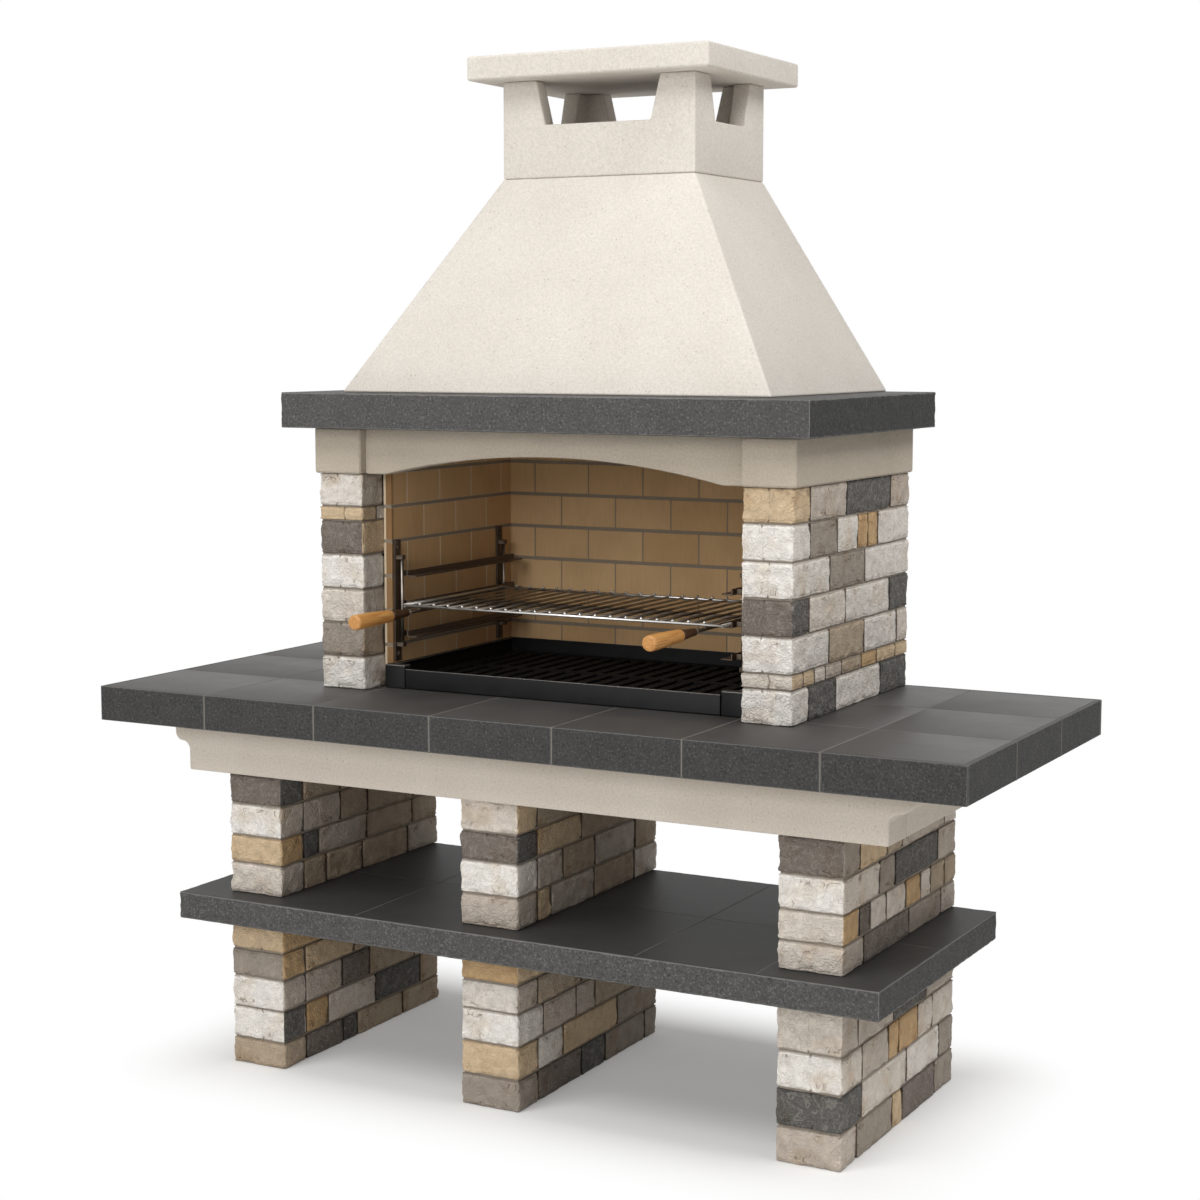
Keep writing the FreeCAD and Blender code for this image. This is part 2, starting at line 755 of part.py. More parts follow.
# Mantel: a slab round the smoke throat.
mantel = node(doc.addObject("PartDesign::Body", "mantel_slab"), "mantel_slab")
bind(mantel, {"Placement.Base.z": "mantel_bottom"})
mantel_pad = pad(mantel, "mantel_pad",
                 rectangle(mantel, "mantel_plan", "XY_Plane", ("-mantel_width / 2", "mantel_front"),
                           ("mantel_width / 2", "back")), "mantel_thickness")
mantel_edge = bevel(mantel, "mantel_edge", mantel_pad, lambda edge: True, "slab_arris")
throat = rectangle(mantel, "throat_plan", "XY_Plane",
                   ("-room_half + throat_ledge", "arch_front + arch_thickness + throat_ledge"),
                   ("room_half - throat_ledge", "room_back - throat_ledge"), offset="mantel_thickness")
pocket(mantel, "throat", throat)

# Hood: a hollow cast pyramid that leans in from the mantel to the flue.
def hood_wedge(name, wall_bottom, wall_top):
    """A pyramid cut off at the flue, inset by a wall at its foot and another at its head. A wedge rises
    along its own Y, so it is stood up, and its Z then runs to the front."""
    wedge = doc.addObject("Part::Wedge", name)
    wedge.Placement.Rotation = FreeCAD.Rotation(FreeCAD.Vector(1, 0, 0), 90)
    bind(wedge, {"Placement.Base.z": "hood_bottom", "Ymin": "0", "Ymax": "hood_height",
                 "Xmin": f"-hood_base_width / 2 + {wall_bottom}",
                 "Xmax": f"hood_base_width / 2 - {wall_bottom}",
                 "Zmin": f"-back + {wall_bottom}", "Zmax": f"-(hood_front) - {wall_bottom}",
                 "X2min": f"-flue_width / 2 + {wall_top}", "X2max": f"flue_width / 2 - {wall_top}",
                 "Z2min": f"-(flue_back) + {wall_top}", "Z2max": f"-(flue_front) - {wall_top}"})
    return wedge


hood = doc.addObject("Part::Cut", "smoke_hood")
hood.Base = hood_wedge("hood_outside", "0", "0")
hood.Tool = hood_wedge("hood_inside", "hood_wall", "flue_wall")
node(hood, "smoke_hood")

# Chimney crown: a square flue with a window on each side, wider at the top, under the cap.
crown = node(doc.addObject("PartDesign::Body", "chimney_crown"), "chimney_crown")
bind(crown, {"Placement.Base.z": "flue_bottom"})
pad(crown, "crown_pad", rectangle(crown, "crown_plan", "XY_Plane", ("-flue_width / 2", "flue_front"),
                                  ("flue_width / 2", "flue_back")), "flue_height")
flue = rectangle(crown, "flue_plan", "XY_Plane", ("-flue_width / 2 + flue_wall", "flue_front + flue_wall"),
                 ("flue_width / 2 - flue_wall", "flue_back - flue_wall"), offset="flue_height")
pocket(crown, "flue", flue)


def window(name, role, middle, bottom, top, offset):
    corners = [(f"{middle} - {bottom} / 2", "window_sill"), (f"{middle} + {bottom} / 2", "window_sill"),
               (f"{middle} + {top} / 2", "flue_height"), (f"{middle} - {top} / 2", "flue_height")]
    pocket(crown, name, profile(crown, f"{name}_outline", role, corners, offset=offset))


window("front_window", "XZ_Plane", "0", "front_window_bottom", "front_window_top", "-(flue_front)")
window("side_window", "YZ_Plane", "flue_middle", "side_window_bottom", "side_window_top", "flue_width / 2")

cap_block = box("cap_block", ("-flue_width / 2 - cap_overhang", "flue_front - cap_overhang", "cap_bottom"),
                ("flue_width + 2 * cap_overhang", "flue_depth + 2 * cap_overhang", "cap_thickness"))
node(arrised("chimney_cap", cap_block, ALL_EDGES, "slab_arris"), "chimney_cap")

# Fire pan: folded sheet, with a ledge along each side for the grate and a lip on top.
pan = node(doc.addObject("PartDesign::Body", "fire_pan"), "fire_pan")
bind(pan, {"Placement.Base.y": "pan_back"})
pan_right = [("pan_half", "worktop_top"), ("pan_half", "worktop_top + pan_height"),
             ("pan_half - pan_lip", "worktop_top + pan_height"),
             ("pan_half - pan_lip", "worktop_top + pan_height - sheet_steel"),
             ("pan_half - sheet_steel", "worktop_top + pan_height - sheet_steel"),
             ("pan_half - sheet_steel", "ledge_top"),
             ("pan_half - sheet_steel - ledge_width", "ledge_top"),
             ("pan_half - sheet_steel - ledge_width", "ledge_bottom"),
             ("pan_half - sheet_steel", "ledge_bottom"),
             ("pan_half - sheet_steel", "worktop_top + sheet_steel")]
pan_left = [(f"-({across})", up) for across, up in pan_right[::-1]]
pad(pan, "pan_fold", profile(pan, "pan_section", "XZ_Plane", pan_right + pan_left), "pan_back - pan_front")
pad(pan, "pan_back_wall", rectangle(pan, "pan_back_outline", "XZ_Plane", ("-pan_half", "worktop_top"),
                                    ("pan_half", "worktop_top + pan_height")), "sheet_steel")

for side_name, side in SIDES.items():
    post = box(f"{side_name}_post_block",
               (sided(side, "post_inside", "post_width"), "post_front", "worktop_top"),
               ("post_width", "post_depth", "pan_height"))
    label = f"{side_name}_pan_post"
    node(arrised(label, post, edges_on((2, 1), (1, 0)), "post_arris"), label)

# Ash drawer: a shallow tray under the grate with a folded front between the posts.
tray = node(doc.addObject("PartDesign::Body", "drawer_tray"), "drawer_tray")
bind(tray, {"Placement.Base.z": "worktop_top + sheet_steel"})
tray_low = ("-drawer_half", "post_front + sheet_steel")
tray_high = ("drawer_half", "pan_back - tray_back_gap")
pad(tray, "tray_pad", rectangle(tray, "tray_plan", "XY_Plane", tray_low, tray_high), "tray_depth")
tray_room = rectangle(tray, "tray_room", "XY_Plane",
                      ("-drawer_half + sheet_steel", f"{tray_low[1]} + sheet_steel"),
                      ("drawer_half - sheet_steel", f"{tray_high[1]} - sheet_steel"), offset="tray_depth")
pocket(tray, "tray_hollow", tray_room, "tray_depth - sheet_steel")

drawer_front = node(doc.addObject("PartDesign::Body", "drawer_front"), "drawer_front")
bind(drawer_front, {"Placement.Base.x": "-drawer_half"})
front_top = "worktop_top + drawer_front_height"
front_foot = "worktop_top + drawer_clearance"
front_corners = [("post_front", front_foot), ("post_front + sheet_steel", front_foot),
                 ("post_front + sheet_steel", f"{front_top} - sheet_steel"),
                 ("post_front + drawer_lip", f"{front_top} - sheet_steel"),
                 ("post_front + drawer_lip", front_top), ("post_front", front_top)]
front_section = profile(drawer_front, "drawer_front_section", "YZ_Plane", front_corners)
pad(drawer_front, "drawer_front_fold", front_section, "2 * drawer_half")

# Charcoal grate: a cast plate of bars that rests on the pan's ledges and lifts out.
grate = node(doc.addObject("PartDesign::Body", "charcoal_grate"), "charcoal_grate")
bind(grate, {"Placement.Base.z": "ledge_top"})
grate_half = "(pan_half - sheet_steel - grate_gap)"
grate_front = "(pan_front + grate_end_gap)"
grate_back = "(pan_back - sheet_steel - grate_end_gap)"
grate_middle = f"({grate_front} + {grate_back}) / 2"
pad(grate, "grate_pad", rectangle(grate, "grate_plan", "XY_Plane", (f"-{grate_half}", grate_front),
                                  (grate_half, grate_back)), "grate_thickness")
slot_field = f"2 * {grate_half} - 2 * grate_border"
slots = int((value(slot_field) + value("grate_bar")) // value("grate_slot + grate_bar"))
slot_spread = f"{slots - 1} * (grate_slot + grate_bar)"
slot_left = f"-({slot_spread} + grate_slot) / 2"
for slot_row, (slot_front, slot_back) in (
        ("front", (f"{grate_front} + grate_border", f"{grate_middle} - grate_border / 2")),
        ("rear", (f"{grate_middle} + grate_border / 2", f"{grate_back} - grate_border"))):
    slot_plan = rectangle(grate, f"{slot_row}_slot_plan", "XY_Plane", (slot_left, slot_front),
                          (f"{slot_left} + grate_slot", slot_back), offset="grate_thickness")
    slot_cut = pocket(grate, f"{slot_row}_slot", slot_plan)
    slot_pattern = grate.newObject("PartDesign::LinearPattern", f"{slot_row}_slots")
    slot_pattern.Originals = [slot_cut]
    slot_pattern.Direction = (slot_plan, ["H_Axis"])
    bind(slot_pattern, {"Length": slot_spread})
    slot_pattern.Occurrences = slots
    grate.Tip = slot_pattern
    doc.recompute()

# Racks: at each side two flat uprights bolted to the lining, each with a bright guide rod between
# two lugs, and three angle rails for the grill to slide on.
guide_rods = []
bolts = []
upright_places = {"front": "lining_front + front_upright_inset", "rear": "room_back - back_upright_inset"}
for side_name, side in SIDES.items():
    for end, upright_y in upright_places.items():
        name = f"{side_name}_{end}_upright"
        flat = box(f"{name}_flat", (sided(side, "upright_face", "upright_thickness"),
                                  f"{upright_y} - upright_width / 2", "upright_bottom"),
                  ("upright_thickness", "upright_width", "upright_height"))
        lugs = []
        lug_levels = {"low": "upright_bottom + lug_inset",
                      "high": "upright_bottom + upright_height - lug_inset - lug_height"}
        for level, lug_z in lug_levels.items():
            lugs.append(box(f"{name}_{level}_lug", (sided(side, "upright_face - lug_reach", "lug_reach"),
                                                    f"{upright_y} - lug_width / 2", lug_z),
                            ("lug_reach", "lug_width", "lug_height")))
            bolt_z = "upright_bottom + bolt_inset"
            if level == "high":
                bolt_z = "upright_bottom + upright_height - bolt_inset"
            bolt_seat = (f"{side} * (upright_face)", upright_y, bolt_z)
            inward = (FreeCAD.Vector(0, 1, 0), -90 * side)
            bolts.append(bar(f"{name}_{level}_bolt", "hexagon", bolt_seat, inward,
                             "bolt_head_diameter", "bolt_head_height"))
        node(fuse(name, [flat] + lugs), name)
        guide_foot = (f"{side} * (upright_face - guide_rod_inset)", upright_y,
                      "upright_bottom + lug_inset + lug_height")
        guide_rods.append(bar(f"{name}_guide", "round", guide_foot, UPRIGHT, "guide_rod_diameter",
                              "upright_height - 2 * lug_inset - 2 * lug_height"))
group("guide_rods", guide_rods)
group("rack_bolts", bolts)



def rail(name, side, seat):
    """An angle rail: a tread for the grill, a flange beside it and an arm to each upright."""
    bottom = f"{seat} - sheet_steel"
    start = f"{upright_places['front']} - upright_width / 2"
    run = f"{upright_places['rear']} + upright_width / 2 - ({start})"
    tread_x = sided(side, "rail_inside + sheet_steel - rail_tread", "rail_tread")
    flange_x = sided(side, "rail_inside", "sheet_steel")
    arm_reach = "upright_face - rail_inside - sheet_steel"
    arm_x = sided(side, "rail_inside + sheet_steel", arm_reach)
    pieces = [box(f"{name}_tread", (tread_x, start, bottom), ("rail_tread", run, "sheet_steel")),
              box(f"{name}_flange", (flange_x, start, bottom), ("sheet_steel", run, "rail_flange"))]
    for end, upright_y in upright_places.items():
        arm_y = f"{upright_y} + upright_width / 2 - sheet_steel"
        pieces.append(box(f"{name}_{end}_arm", (arm_x, arm_y, bottom),
                          (arm_reach, "sheet_steel", "rail_arm_height")))
    return fuse(name, pieces)


for side_name, side in SIDES.items():
    group(f"{side_name}_rack_rails",
          [rail(f"{side_name}_rail_{place}", side, f"grill_bottom + {level} * rail_pitch")
           for place, level in enumerate((-1, 0, 1))])

# Cooking grill: a welded frame of square bar filled with round rods, on a cross bar.
grill = node(doc.addObject("PartDesign::Body", "grill_frame"), "grill_frame")
bind(grill, {"Placement.Base.z": "grill_bottom"})
pad(grill, "grill_frame_pad", rectangle(grill, "grill_plan", "XY_Plane", ("-grill_half", "grill_front"),
                                        ("grill_half", "grill_front + grill_depth")), "grill_bar")
grill_room = rectangle(grill, "grill_room", "XY_Plane",
                       ("-grill_half + grill_bar", "grill_front + grill_bar"),
                       ("grill_half - grill_bar", "grill_front + grill_depth - grill_bar"),
                       offset="grill_bar")
pocket(grill, "grill_opening", grill_room)

# The cross bar ends short of the rails' treads.
crossbar_half = "(rail_inside + sheet_steel - rail_tread - grill_clearance)"
node(box("grill_crossbar", (f"-{crossbar_half}", "crossbar_front", "grill_bottom - grill_bar"),
         (f"2 * {crossbar_half}", "grill_bar",
          "grill_bar + (grill_bar - grill_rod_diameter) / 2 - weld_gap")), "grill_crossbar")

rod_field = "2 * grill_half - 2 * grill_bar"
rod_gaps = round(value(rod_field) / value("grill_rod_pitch"))
grill_rods = []
for number in range(1, rod_gaps):
    rod_x = f"-grill_half + grill_bar + {number} * ({rod_field}) / {rod_gaps}"
    grill_rods.append(bar(f"grill_rod_{number}", "round",
                          (rod_x, "grill_front + grill_bar", "grill_bottom + grill_bar / 2"), TO_THE_BACK,
                          "grill_rod_diameter", "grill_depth - 2 * grill_bar"))
group("grill_rods", grill_rods)


# Handles: a steel rod from the cross bar passes under the front bar and ends in a beech grip.
def turned(label, corners, origin):
    """A piece turned on the lathe round the handle's own axis, which runs to the back."""
    body = node(doc.addObject("PartDesign::Body", label), label)
    bind(body, dict(zip(("Placement.Base.x", "Placement.Base.y", "Placement.Base.z"), origin)))
    outline = profile(body, f"{label}_outline", "XY_Plane", corners)
    feature = body.newObject("PartDesign::Revolution", f"{label}_turning")
    feature.Profile = outline
    feature.ReferenceAxis = (outline, ["V_Axis"])
    feature.Angle = 360


bore = "handle_rod_diameter / 2 + tang_clearance"


def sleeve(diameter, length):
    """Section of a sleeve on the handle's rod."""
    return [(bore, "0"), (f"{diameter} / 2", "0"), (f"{diameter} / 2", length), (bore, length)]


for side_name, side in SIDES.items():
    handle_x = f"{side} * (handle_x)"
    tang_end = "grip_back - tang_length"
    shaft = bar(f"{side_name}_handle_shaft", "round", (handle_x, tang_end, "handle_z"), TO_THE_BACK,
                "handle_rod_diameter", f"crossbar_front - ({tang_end})")
    saddle = box(f"{side_name}_handle_saddle", (f"{handle_x} - grill_bar / 2", "grill_front", "handle_z"),
                 ("grill_bar", "grill_bar", "grill_bottom - handle_z"))
    node(fuse(f"{side_name}_handle_rod", [shaft, saddle]), f"{side_name}_handle_rod")
    turned(f"{side_name}_ferrule", sleeve("ferrule_diameter", "ferrule_length"),
           (handle_x, "neck_back", "handle_z"))
    turned(f"{side_name}_handle_neck", sleeve("neck_diameter", "neck_length"),
           (handle_x, "grip_back", "handle_z"))
    turned(f"{side_name}_grip",
           [("0", "0"), ("grip_diameter / 2 - grip_bevel", "0"), ("grip_diameter / 2", "grip_bevel"),
            ("grip_diameter / 2", "grip_length"), (bore, "grip_length"),
            (bore, "grip_length - tang_length"), ("0", "grip_length - tang_length")],
           (handle_x, "grip_back - grip_length", "handle_z"))

doc.recompute()
for thing in doc.Objects:
    if "Invalid" in thing.State or "Error" in thing.State:
        raise RuntimeError(f"{thing.Label} failed: {thing.State}")
for thing in nodes:
    if thing.Shape.isNull() or not thing.Shape.isValid() or not thing.Shape.Solids:
        raise RuntimeError(f"{thing.Label} has no valid solid")

os.makedirs("parts", exist_ok=True)
for thing in nodes:
    thing.Shape.exportStep(f"parts/{thing.Label}.step")
solids = sum(len(thing.Shape.Solids) for thing in nodes)
print(f"{len(nodes)} nodes, {solids} solids")
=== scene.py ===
import math
import random
from functools import partial

import bmesh
import bpy
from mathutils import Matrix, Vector


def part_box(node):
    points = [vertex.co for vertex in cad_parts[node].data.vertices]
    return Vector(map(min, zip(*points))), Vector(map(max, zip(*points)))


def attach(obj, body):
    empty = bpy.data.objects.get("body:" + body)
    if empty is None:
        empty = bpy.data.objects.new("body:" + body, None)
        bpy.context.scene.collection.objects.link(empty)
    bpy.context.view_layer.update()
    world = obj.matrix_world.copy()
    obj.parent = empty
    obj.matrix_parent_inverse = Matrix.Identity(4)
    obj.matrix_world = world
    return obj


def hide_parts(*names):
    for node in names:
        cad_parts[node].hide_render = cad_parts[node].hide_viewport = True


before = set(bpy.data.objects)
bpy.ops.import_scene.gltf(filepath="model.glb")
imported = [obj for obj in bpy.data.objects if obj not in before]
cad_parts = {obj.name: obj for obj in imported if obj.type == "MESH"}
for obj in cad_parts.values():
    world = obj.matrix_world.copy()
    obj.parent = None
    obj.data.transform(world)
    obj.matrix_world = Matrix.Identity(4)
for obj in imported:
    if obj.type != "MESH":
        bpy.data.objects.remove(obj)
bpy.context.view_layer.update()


# Lower piers
# Three piers of cast limestone blocks, each block as wide as its pier, laid in bonded courses on
# thin mortar beds. The blocks come from hammered moulds: uneven faces, arrises worn round.

# The grid on a face that shows, and its closer lines next to an arris.
FACE_CELL = 0.0055
ARRIS_STEPS = (0.0012, 0.0030, 0.0055, 0.0085)
# In a course thinner than this, no point counts as rising farther from a bed than a thin stone's rise.
THIN = 0.05
THIN_RISE = 0.004
# How much painted shade the rim of a bed gets, beside a joint's 1.
BED_RIM_SHADE = 0.4
SIDE_NAMES = ("front", "right", "back", "left")
NOTE_KINDS = {"block_middle": "FLOAT_VECTOR", "block_half": "FLOAT_VECTOR", "block_number": "FLOAT",
              "shown": "FLOAT", "joint": "FLOAT", "tone": "FLOAT_COLOR", "across": "FLOAT",
              "rise": "FLOAT"}
NOTE_FIELDS = {"FLOAT_VECTOR": "vector", "FLOAT_COLOR": "color", "FLOAT": "value"}


class Blocks:
    """Plain blocks with a fine grid on the faces that show, kept apart from each other, ready to be
    worked. Each point notes its block's middle, half spans, number and tone, whether it shows, how far it
    is in a joint, how far it is across from a seam, and how far it rises from the nearest bed."""

    def __init__(self):
        self.points = []
        self.faces = []
        self.notes = {note: [] for note in NOTE_KINDS}
        self.count = 0

    def steps(self, span, cell):
        """Places along a span, close together next to its ends, up to the far end."""
        if span < 4 * ARRIS_STEPS[-1]:
            return [span * step / 6 for step in range(6)]
        inner = span - 2 * ARRIS_STEPS[-1]
        cells = max(1, round(inner / cell))
        places = [0, *ARRIS_STEPS]
        places += [ARRIS_STEPS[-1] + inner * step / cells for step in range(1, cells)]
        return places + [span - step for step in reversed(ARRIS_STEPS)]

    def ring(self, low, high, shown):
        """Points round a block from its front left corner, and the side that each is on."""
        corners = [Vector((low.x, low.y)), Vector((high.x, low.y)), Vector((high.x, high.y)),
                   Vector((low.x, high.y))]
        points = []
        for side, name in enumerate(SIDE_NAMES):
            start, end = corners[side], corners[(side + 1) % 4]
            span = (end - start).length
            for place in self.steps(span, FACE_CELL if name in shown else span):
                seen = name in shown or (place == 0 and SIDE_NAMES[side - 1] in shown)
                points.append((start.lerp(end, place / span), name, seen))
        return points

    def add(self, low, high, shown, tones, seam=None):
        """A block between two corners. tones gives each side's colour, by its name. A front of two stones
        has an upright seam at its own place along X, and is chipped there next to the beds."""
        ring = self.ring(low, high, shown)
        thin = min(1, 0.4 * min(high - low) / ARRIS_STEPS[-1])
        levels = [(inset * thin, low.z) for inset in reversed(ARRIS_STEPS)]
        levels += [(0, low.z + step) for step in self.steps(high.z - low.z, FACE_CELL)]
        levels += [(0, high.z)] + [(inset * thin, high.z) for inset in ARRIS_STEPS]
        known = {}
        rows = []
        for inset, z in levels:
            row = []
            for point, side, seen in ring:
                x = min(max(point.x, low.x + inset), high.x - inset)
                y = min(max(point.y, low.y + inset), high.y - inset)
                key = (round(x, 6), round(y, 6), round(z, 6))
                if key not in known:
                    known[key] = len(self.points)
                    self.points.append((x, y, z))
                    self.notes["block_middle"].extend((low + high) / 2)
                    self.notes["block_half"].extend((high - low) / 2)
                    self.notes["block_number"].append(self.count)
                    self.notes["shown"].append(float(seen and inset == 0))
                    self.notes["joint"].append((BED_RIM_SHADE if inset else 0.0) if seen else 1.0)
                    self.notes["tone"] += tones[side]
                    self.notes["across"].append(1.0 if seam is None else x - seam)
                    most = THIN_RISE if high.z - low.z < THIN else 1
                    self.notes["rise"].append(min(z - low.z, high.z - z, most))
                row.append(known[key])
            rows.append(row)
        for lower, upper in zip(rows, rows[1:]):
            for place in range(len(ring)):
                after = (place + 1) % len(ring)
                face = list(dict.fromkeys((lower[place], lower[after], upper[after], upper[place])))
                if len(face) > 2:
                    self.faces.append(face)
        self.faces.append(list(dict.fromkeys(reversed(rows[0]))))
        self.faces.append(list(dict.fromkeys(rows[-1])))
        self.count += 1

    def mesh(self, name):
        mesh = bpy.data.meshes.new(name)
        mesh.from_pydata(self.points, [], self.faces)
        for note, kind in NOTE_KINDS.items():
            mesh.attributes.new(note, kind, "POINT").data.foreach_set(NOTE_FIELDS[kind], self.notes[note])
        return mesh


def put(tree, kind, *values, out=None, **settings):
    """Add a node and return one of its outputs. A second word of its kind is its operation or its kind of
    data. Values go to its inputs in order; a setting goes to the input or, in lower case, the property of
    its name. A value may be another node's output."""
    kind, _, word = kind.partition(" ")
    starts = ("ShaderNode", "GeometryNode", "FunctionNode", "")
    node = tree.nodes.new(next(start + kind for start in starts if hasattr(bpy.types, start + kind)))
    if word:
        setattr(node, "operation" if hasattr(node, "operation") else "data_type", word)
    for name in filter(str.islower, settings):
        setattr(node, name, settings[name])
    filled = list(zip([socket for socket in node.inputs if socket.enabled], values))
    filled += [(node.inputs[name.replace("_", " ")], value) for name, value in settings.items()
               if not name.islower()]
    for socket, value in filled:
        if isinstance(value, bpy.types.NodeSocket):
            tree.links.new(value, socket)
        else:
            socket.default_value = value
    return node.outputs[out] if out else next((socket for socket in node.outputs if socket.enabled), None)


def new_tree(name, sizes):
    """An empty tree of geometry nodes with named sizes and a material as its inputs, what adds a node to
    it, and what its inputs give."""
    tree = bpy.data.node_groups.new(name, "GeometryNodeTree")
    tree.interface.new_socket("Geometry", in_out="INPUT", socket_type="NodeSocketGeometry")
    for size in sizes:
        tree.interface.new_socket(size, in_out="INPUT", socket_type="NodeSocketFloat")
    tree.interface.new_socket("Material", in_out="INPUT", socket_type="NodeSocketMaterial")
    tree.interface.new_socket("Geometry", in_out="OUTPUT", socket_type="NodeSocketGeometry")
    return tree, partial(put, tree), put(tree, "NodeGroupInput").node.outputs


def end_tree(add, geometry, material):
    """Realize what a tree has made, give it its material and pass it out."""
    real = add("RealizeInstances", geometry)
    dressed = add("SetMaterial", real, Material=material)
    add("NodeGroupOutput", dressed)


# Hammered blocks: the arrises are rounded over, more in some places than in others, and the faces that
# show are knocked back in facets, lumps and grain. How deep each point lies is kept for the colour's
# painted shade in the hollows, and how near it is to an arris for its painted highlight.
hammered, add, given = new_tree("hammered block", ("Arris", "Relief", "Chip Size", "Grain Size"))
place = add("InputPosition")
middle, half, number, shown = (
    add(f"InputNamedAttribute {NOTE_KINDS[note]}", note)
    for note in ("block_middle", "block_half", "block_number", "shown"))
# a step between the blocks' numbers, so that no two have the same pattern
SEED_STEP = 5.37
own_seed = add("Math MULTIPLY", number, SEED_STEP)
chip_scale = add("Math DIVIDE", 1.0, given["Chip Size"])
grain_scale = add("Math DIVIDE", 1.0, given["Grain Size"])
lump, grain = (
    add("TexNoise", noise_dimensions="4D", Vector=place, W=own_seed, Scale=scale, Detail=detail)
    for scale, detail in ((chip_scale, 2.0), (grain_scale, 3.0)))
facet = add("TexVoronoi", voronoi_dimensions="4D", Vector=place, W=own_seed, Scale=chip_scale).node.outputs
wear = add("MapRange", lump, 0.3, 0.7, 0.65, 1.35)
radius = add("Math MULTIPLY", given["Arris"], wear)
spans = add("SeparateXYZ", half).node.outputs
least = add("Math MINIMUM", spans["X"], spans["Y"])
least = add("Math MINIMUM", least, spans["Z"])
least = add("Math MULTIPLY", least, 0.45)
radius = add("Math MINIMUM", radius, least)
local = add("VectorMath SUBTRACT", place, middle)
core = add("VectorMath SUBTRACT", half, radius)
other_core = add("VectorMath SCALE", core, -1.0)
above = add("VectorMath MAXIMUM", local, other_core)
inside = add("VectorMath MINIMUM", above, core)
reach = add("VectorMath SUBTRACT", local, inside)
outward = add("VectorMath NORMALIZE", reach)
lean = add("VectorMath SUBTRACT", facet["Color"], (0.5, 0.5, 0.5))
from_cell = add("VectorMath SUBTRACT", place, facet["Position"])
tilt = add("VectorMath DOT_PRODUCT", lean, from_cell)
tilt = add("Math MULTIPLY", tilt, chip_scale)
depth = add("Math MULTIPLY_ADD", lump, 1.5, -0.45)
depth = add("Math MULTIPLY_ADD", tilt, 0.9, depth)
depth = add("Math MULTIPLY_ADD", grain, 0.7, depth, use_clamp=True)
sink = add("Math MULTIPLY", depth, given["Relief"])
sink = add("Math MULTIPLY", sink, shown)
lift = add("Math SUBTRACT", radius, sink)
worked_skin = add("VectorMath SCALE", outward, lift)
worked_place = add("VectorMath ADD", middle, inside)
worked_place = add("VectorMath ADD", worked_place, worked_skin)
spread = add("VectorMath LENGTH", reach)
spread = add("Math DIVIDE", spread, radius)
edge = add("MapRange", spread, 1.05, 1.4)
kept = add("StoreNamedAttribute FLOAT", given["Geometry"], Name="hollow", Value=depth)
kept = add("StoreNamedAttribute FLOAT", kept, Name="arris", Value=edge)
moved = add("SetPosition", kept, Position=worked_place)
smooth = add("SetShadeSmooth", moved)
end_tree(add, smooth, given["Material"])


def linear(code):
    """Linear colour of an sRGB hex code."""
    parts = [int(code[place:place + 2], 16) / 255 for place in (1, 3, 5)]
    return [part / 12.92 if part <= 0.04045 else ((part + 0.055) / 1.055) ** 2.4 for part in parts] + [1]


def bare(owner):
    """Clear the nodes of a material or of the world; returns what adds a node to it."""
    owner.use_nodes = True
    owner.node_tree.nodes.clear()
    return partial(put, owner.node_tree)


def new_material(name, **settings):
    """A material with its shader set, what adds a node to it, and the places on the piece in metres."""
    made = bpy.data.materials.new(name)
    add = bare(made)
    shader = add("BsdfPrincipled", **settings)
    add("OutputMaterial", shader)
    return made, add, shader.node, add("TexCoord", out="Object")


def shade(add, colour, value, low, high, dark, light):
    """A colour dimmed or lit as a value goes from low to high."""
    strength = add("MapRange", value, low, high, dark, light)
    return add("Mix RGBA", 1.0, colour, strength, blend_type="MULTIPLY")


def stain(add, colour, value, low, high, most, tint, blend="MIX"):
    """A colour under a tint, by a share that grows to its most as a value goes from low to high."""
    share = add("MapRange", value, low, high, 0.0, most)
    return add("Mix RGBA", share, colour, linear(tint), blend_type=blend)


def draw_lines(add, pattern, core, edge, on_line, off_line=0.0):
    """Lines along the middle level of a pattern, with one value in their core and one past their edge."""
    level = add("Math SUBTRACT", pattern, 0.5)
    level = add("Math ABSOLUTE", level)
    return add("MapRange", level, core, edge, on_line, off_line)


def surface(add, shader, colour, height=None, strength=0.0, relief=0.0, rough=None):
    """Give a shader its colour and, where there are any, a roughness and bumps with a relief in metres."""
    ends = [(colour, "Base Color")]
    if rough:
        ends.append((rough, "Roughness"))
    if height:
        ends.append((add("Bump", Strength=strength, Distance=relief, Height=height), "Normal"))
    for value, name in ends:
        shader.id_data.links.new(value, shader.inputs[name])


# Cast limestone: matt and pitted, one tone for each block, clouded and stained with sand-coloured
# patches, with dark grit, hairline veins and scuffs that are drawn pale on dark blocks, partly as a
# painted highlight of ridges that catch the light, painted shade in the hollows and in the joints,
# and painted highlights on the arrises.
limestone, add, shader, place = new_material("cast_limestone", Roughness=0.88, IOR=1.5,
                                             Specular_IOR_Level=0.35)
tone = add("Attribute", attribute_name="tone")
hollow, arris, across, rise, joint = (add("Attribute", out="Fac", attribute_name=note)
                                      for note in ("hollow", "arris", "across", "rise", "joint"))
patch = add("TexNoise", place, Scale=1 / 0.070, Detail=3.0)
patch = add("MapRange", patch, 0.52, 0.75, 0.0, 0.45)
colour = add("Mix RGBA", patch, tone, linear("#d9bd95"), blend_type="MULTIPLY")
cloud = add("TexNoise", place, Scale=1 / 0.022, Detail=5.0, Roughness=0.65)
colour = shade(add, colour, cloud, 0.3, 0.7, 0.91, 1.07)
grit = add("TexNoise", place, Scale=1 / 0.0035, Detail=2.0)
colour = shade(add, colour, grit, 0.3, 0.65, 0.95, 1.03)
veins_and_glints = add("TexNoise", place, Scale=1 / 0.026, Detail=3.0, Distortion=1.0)
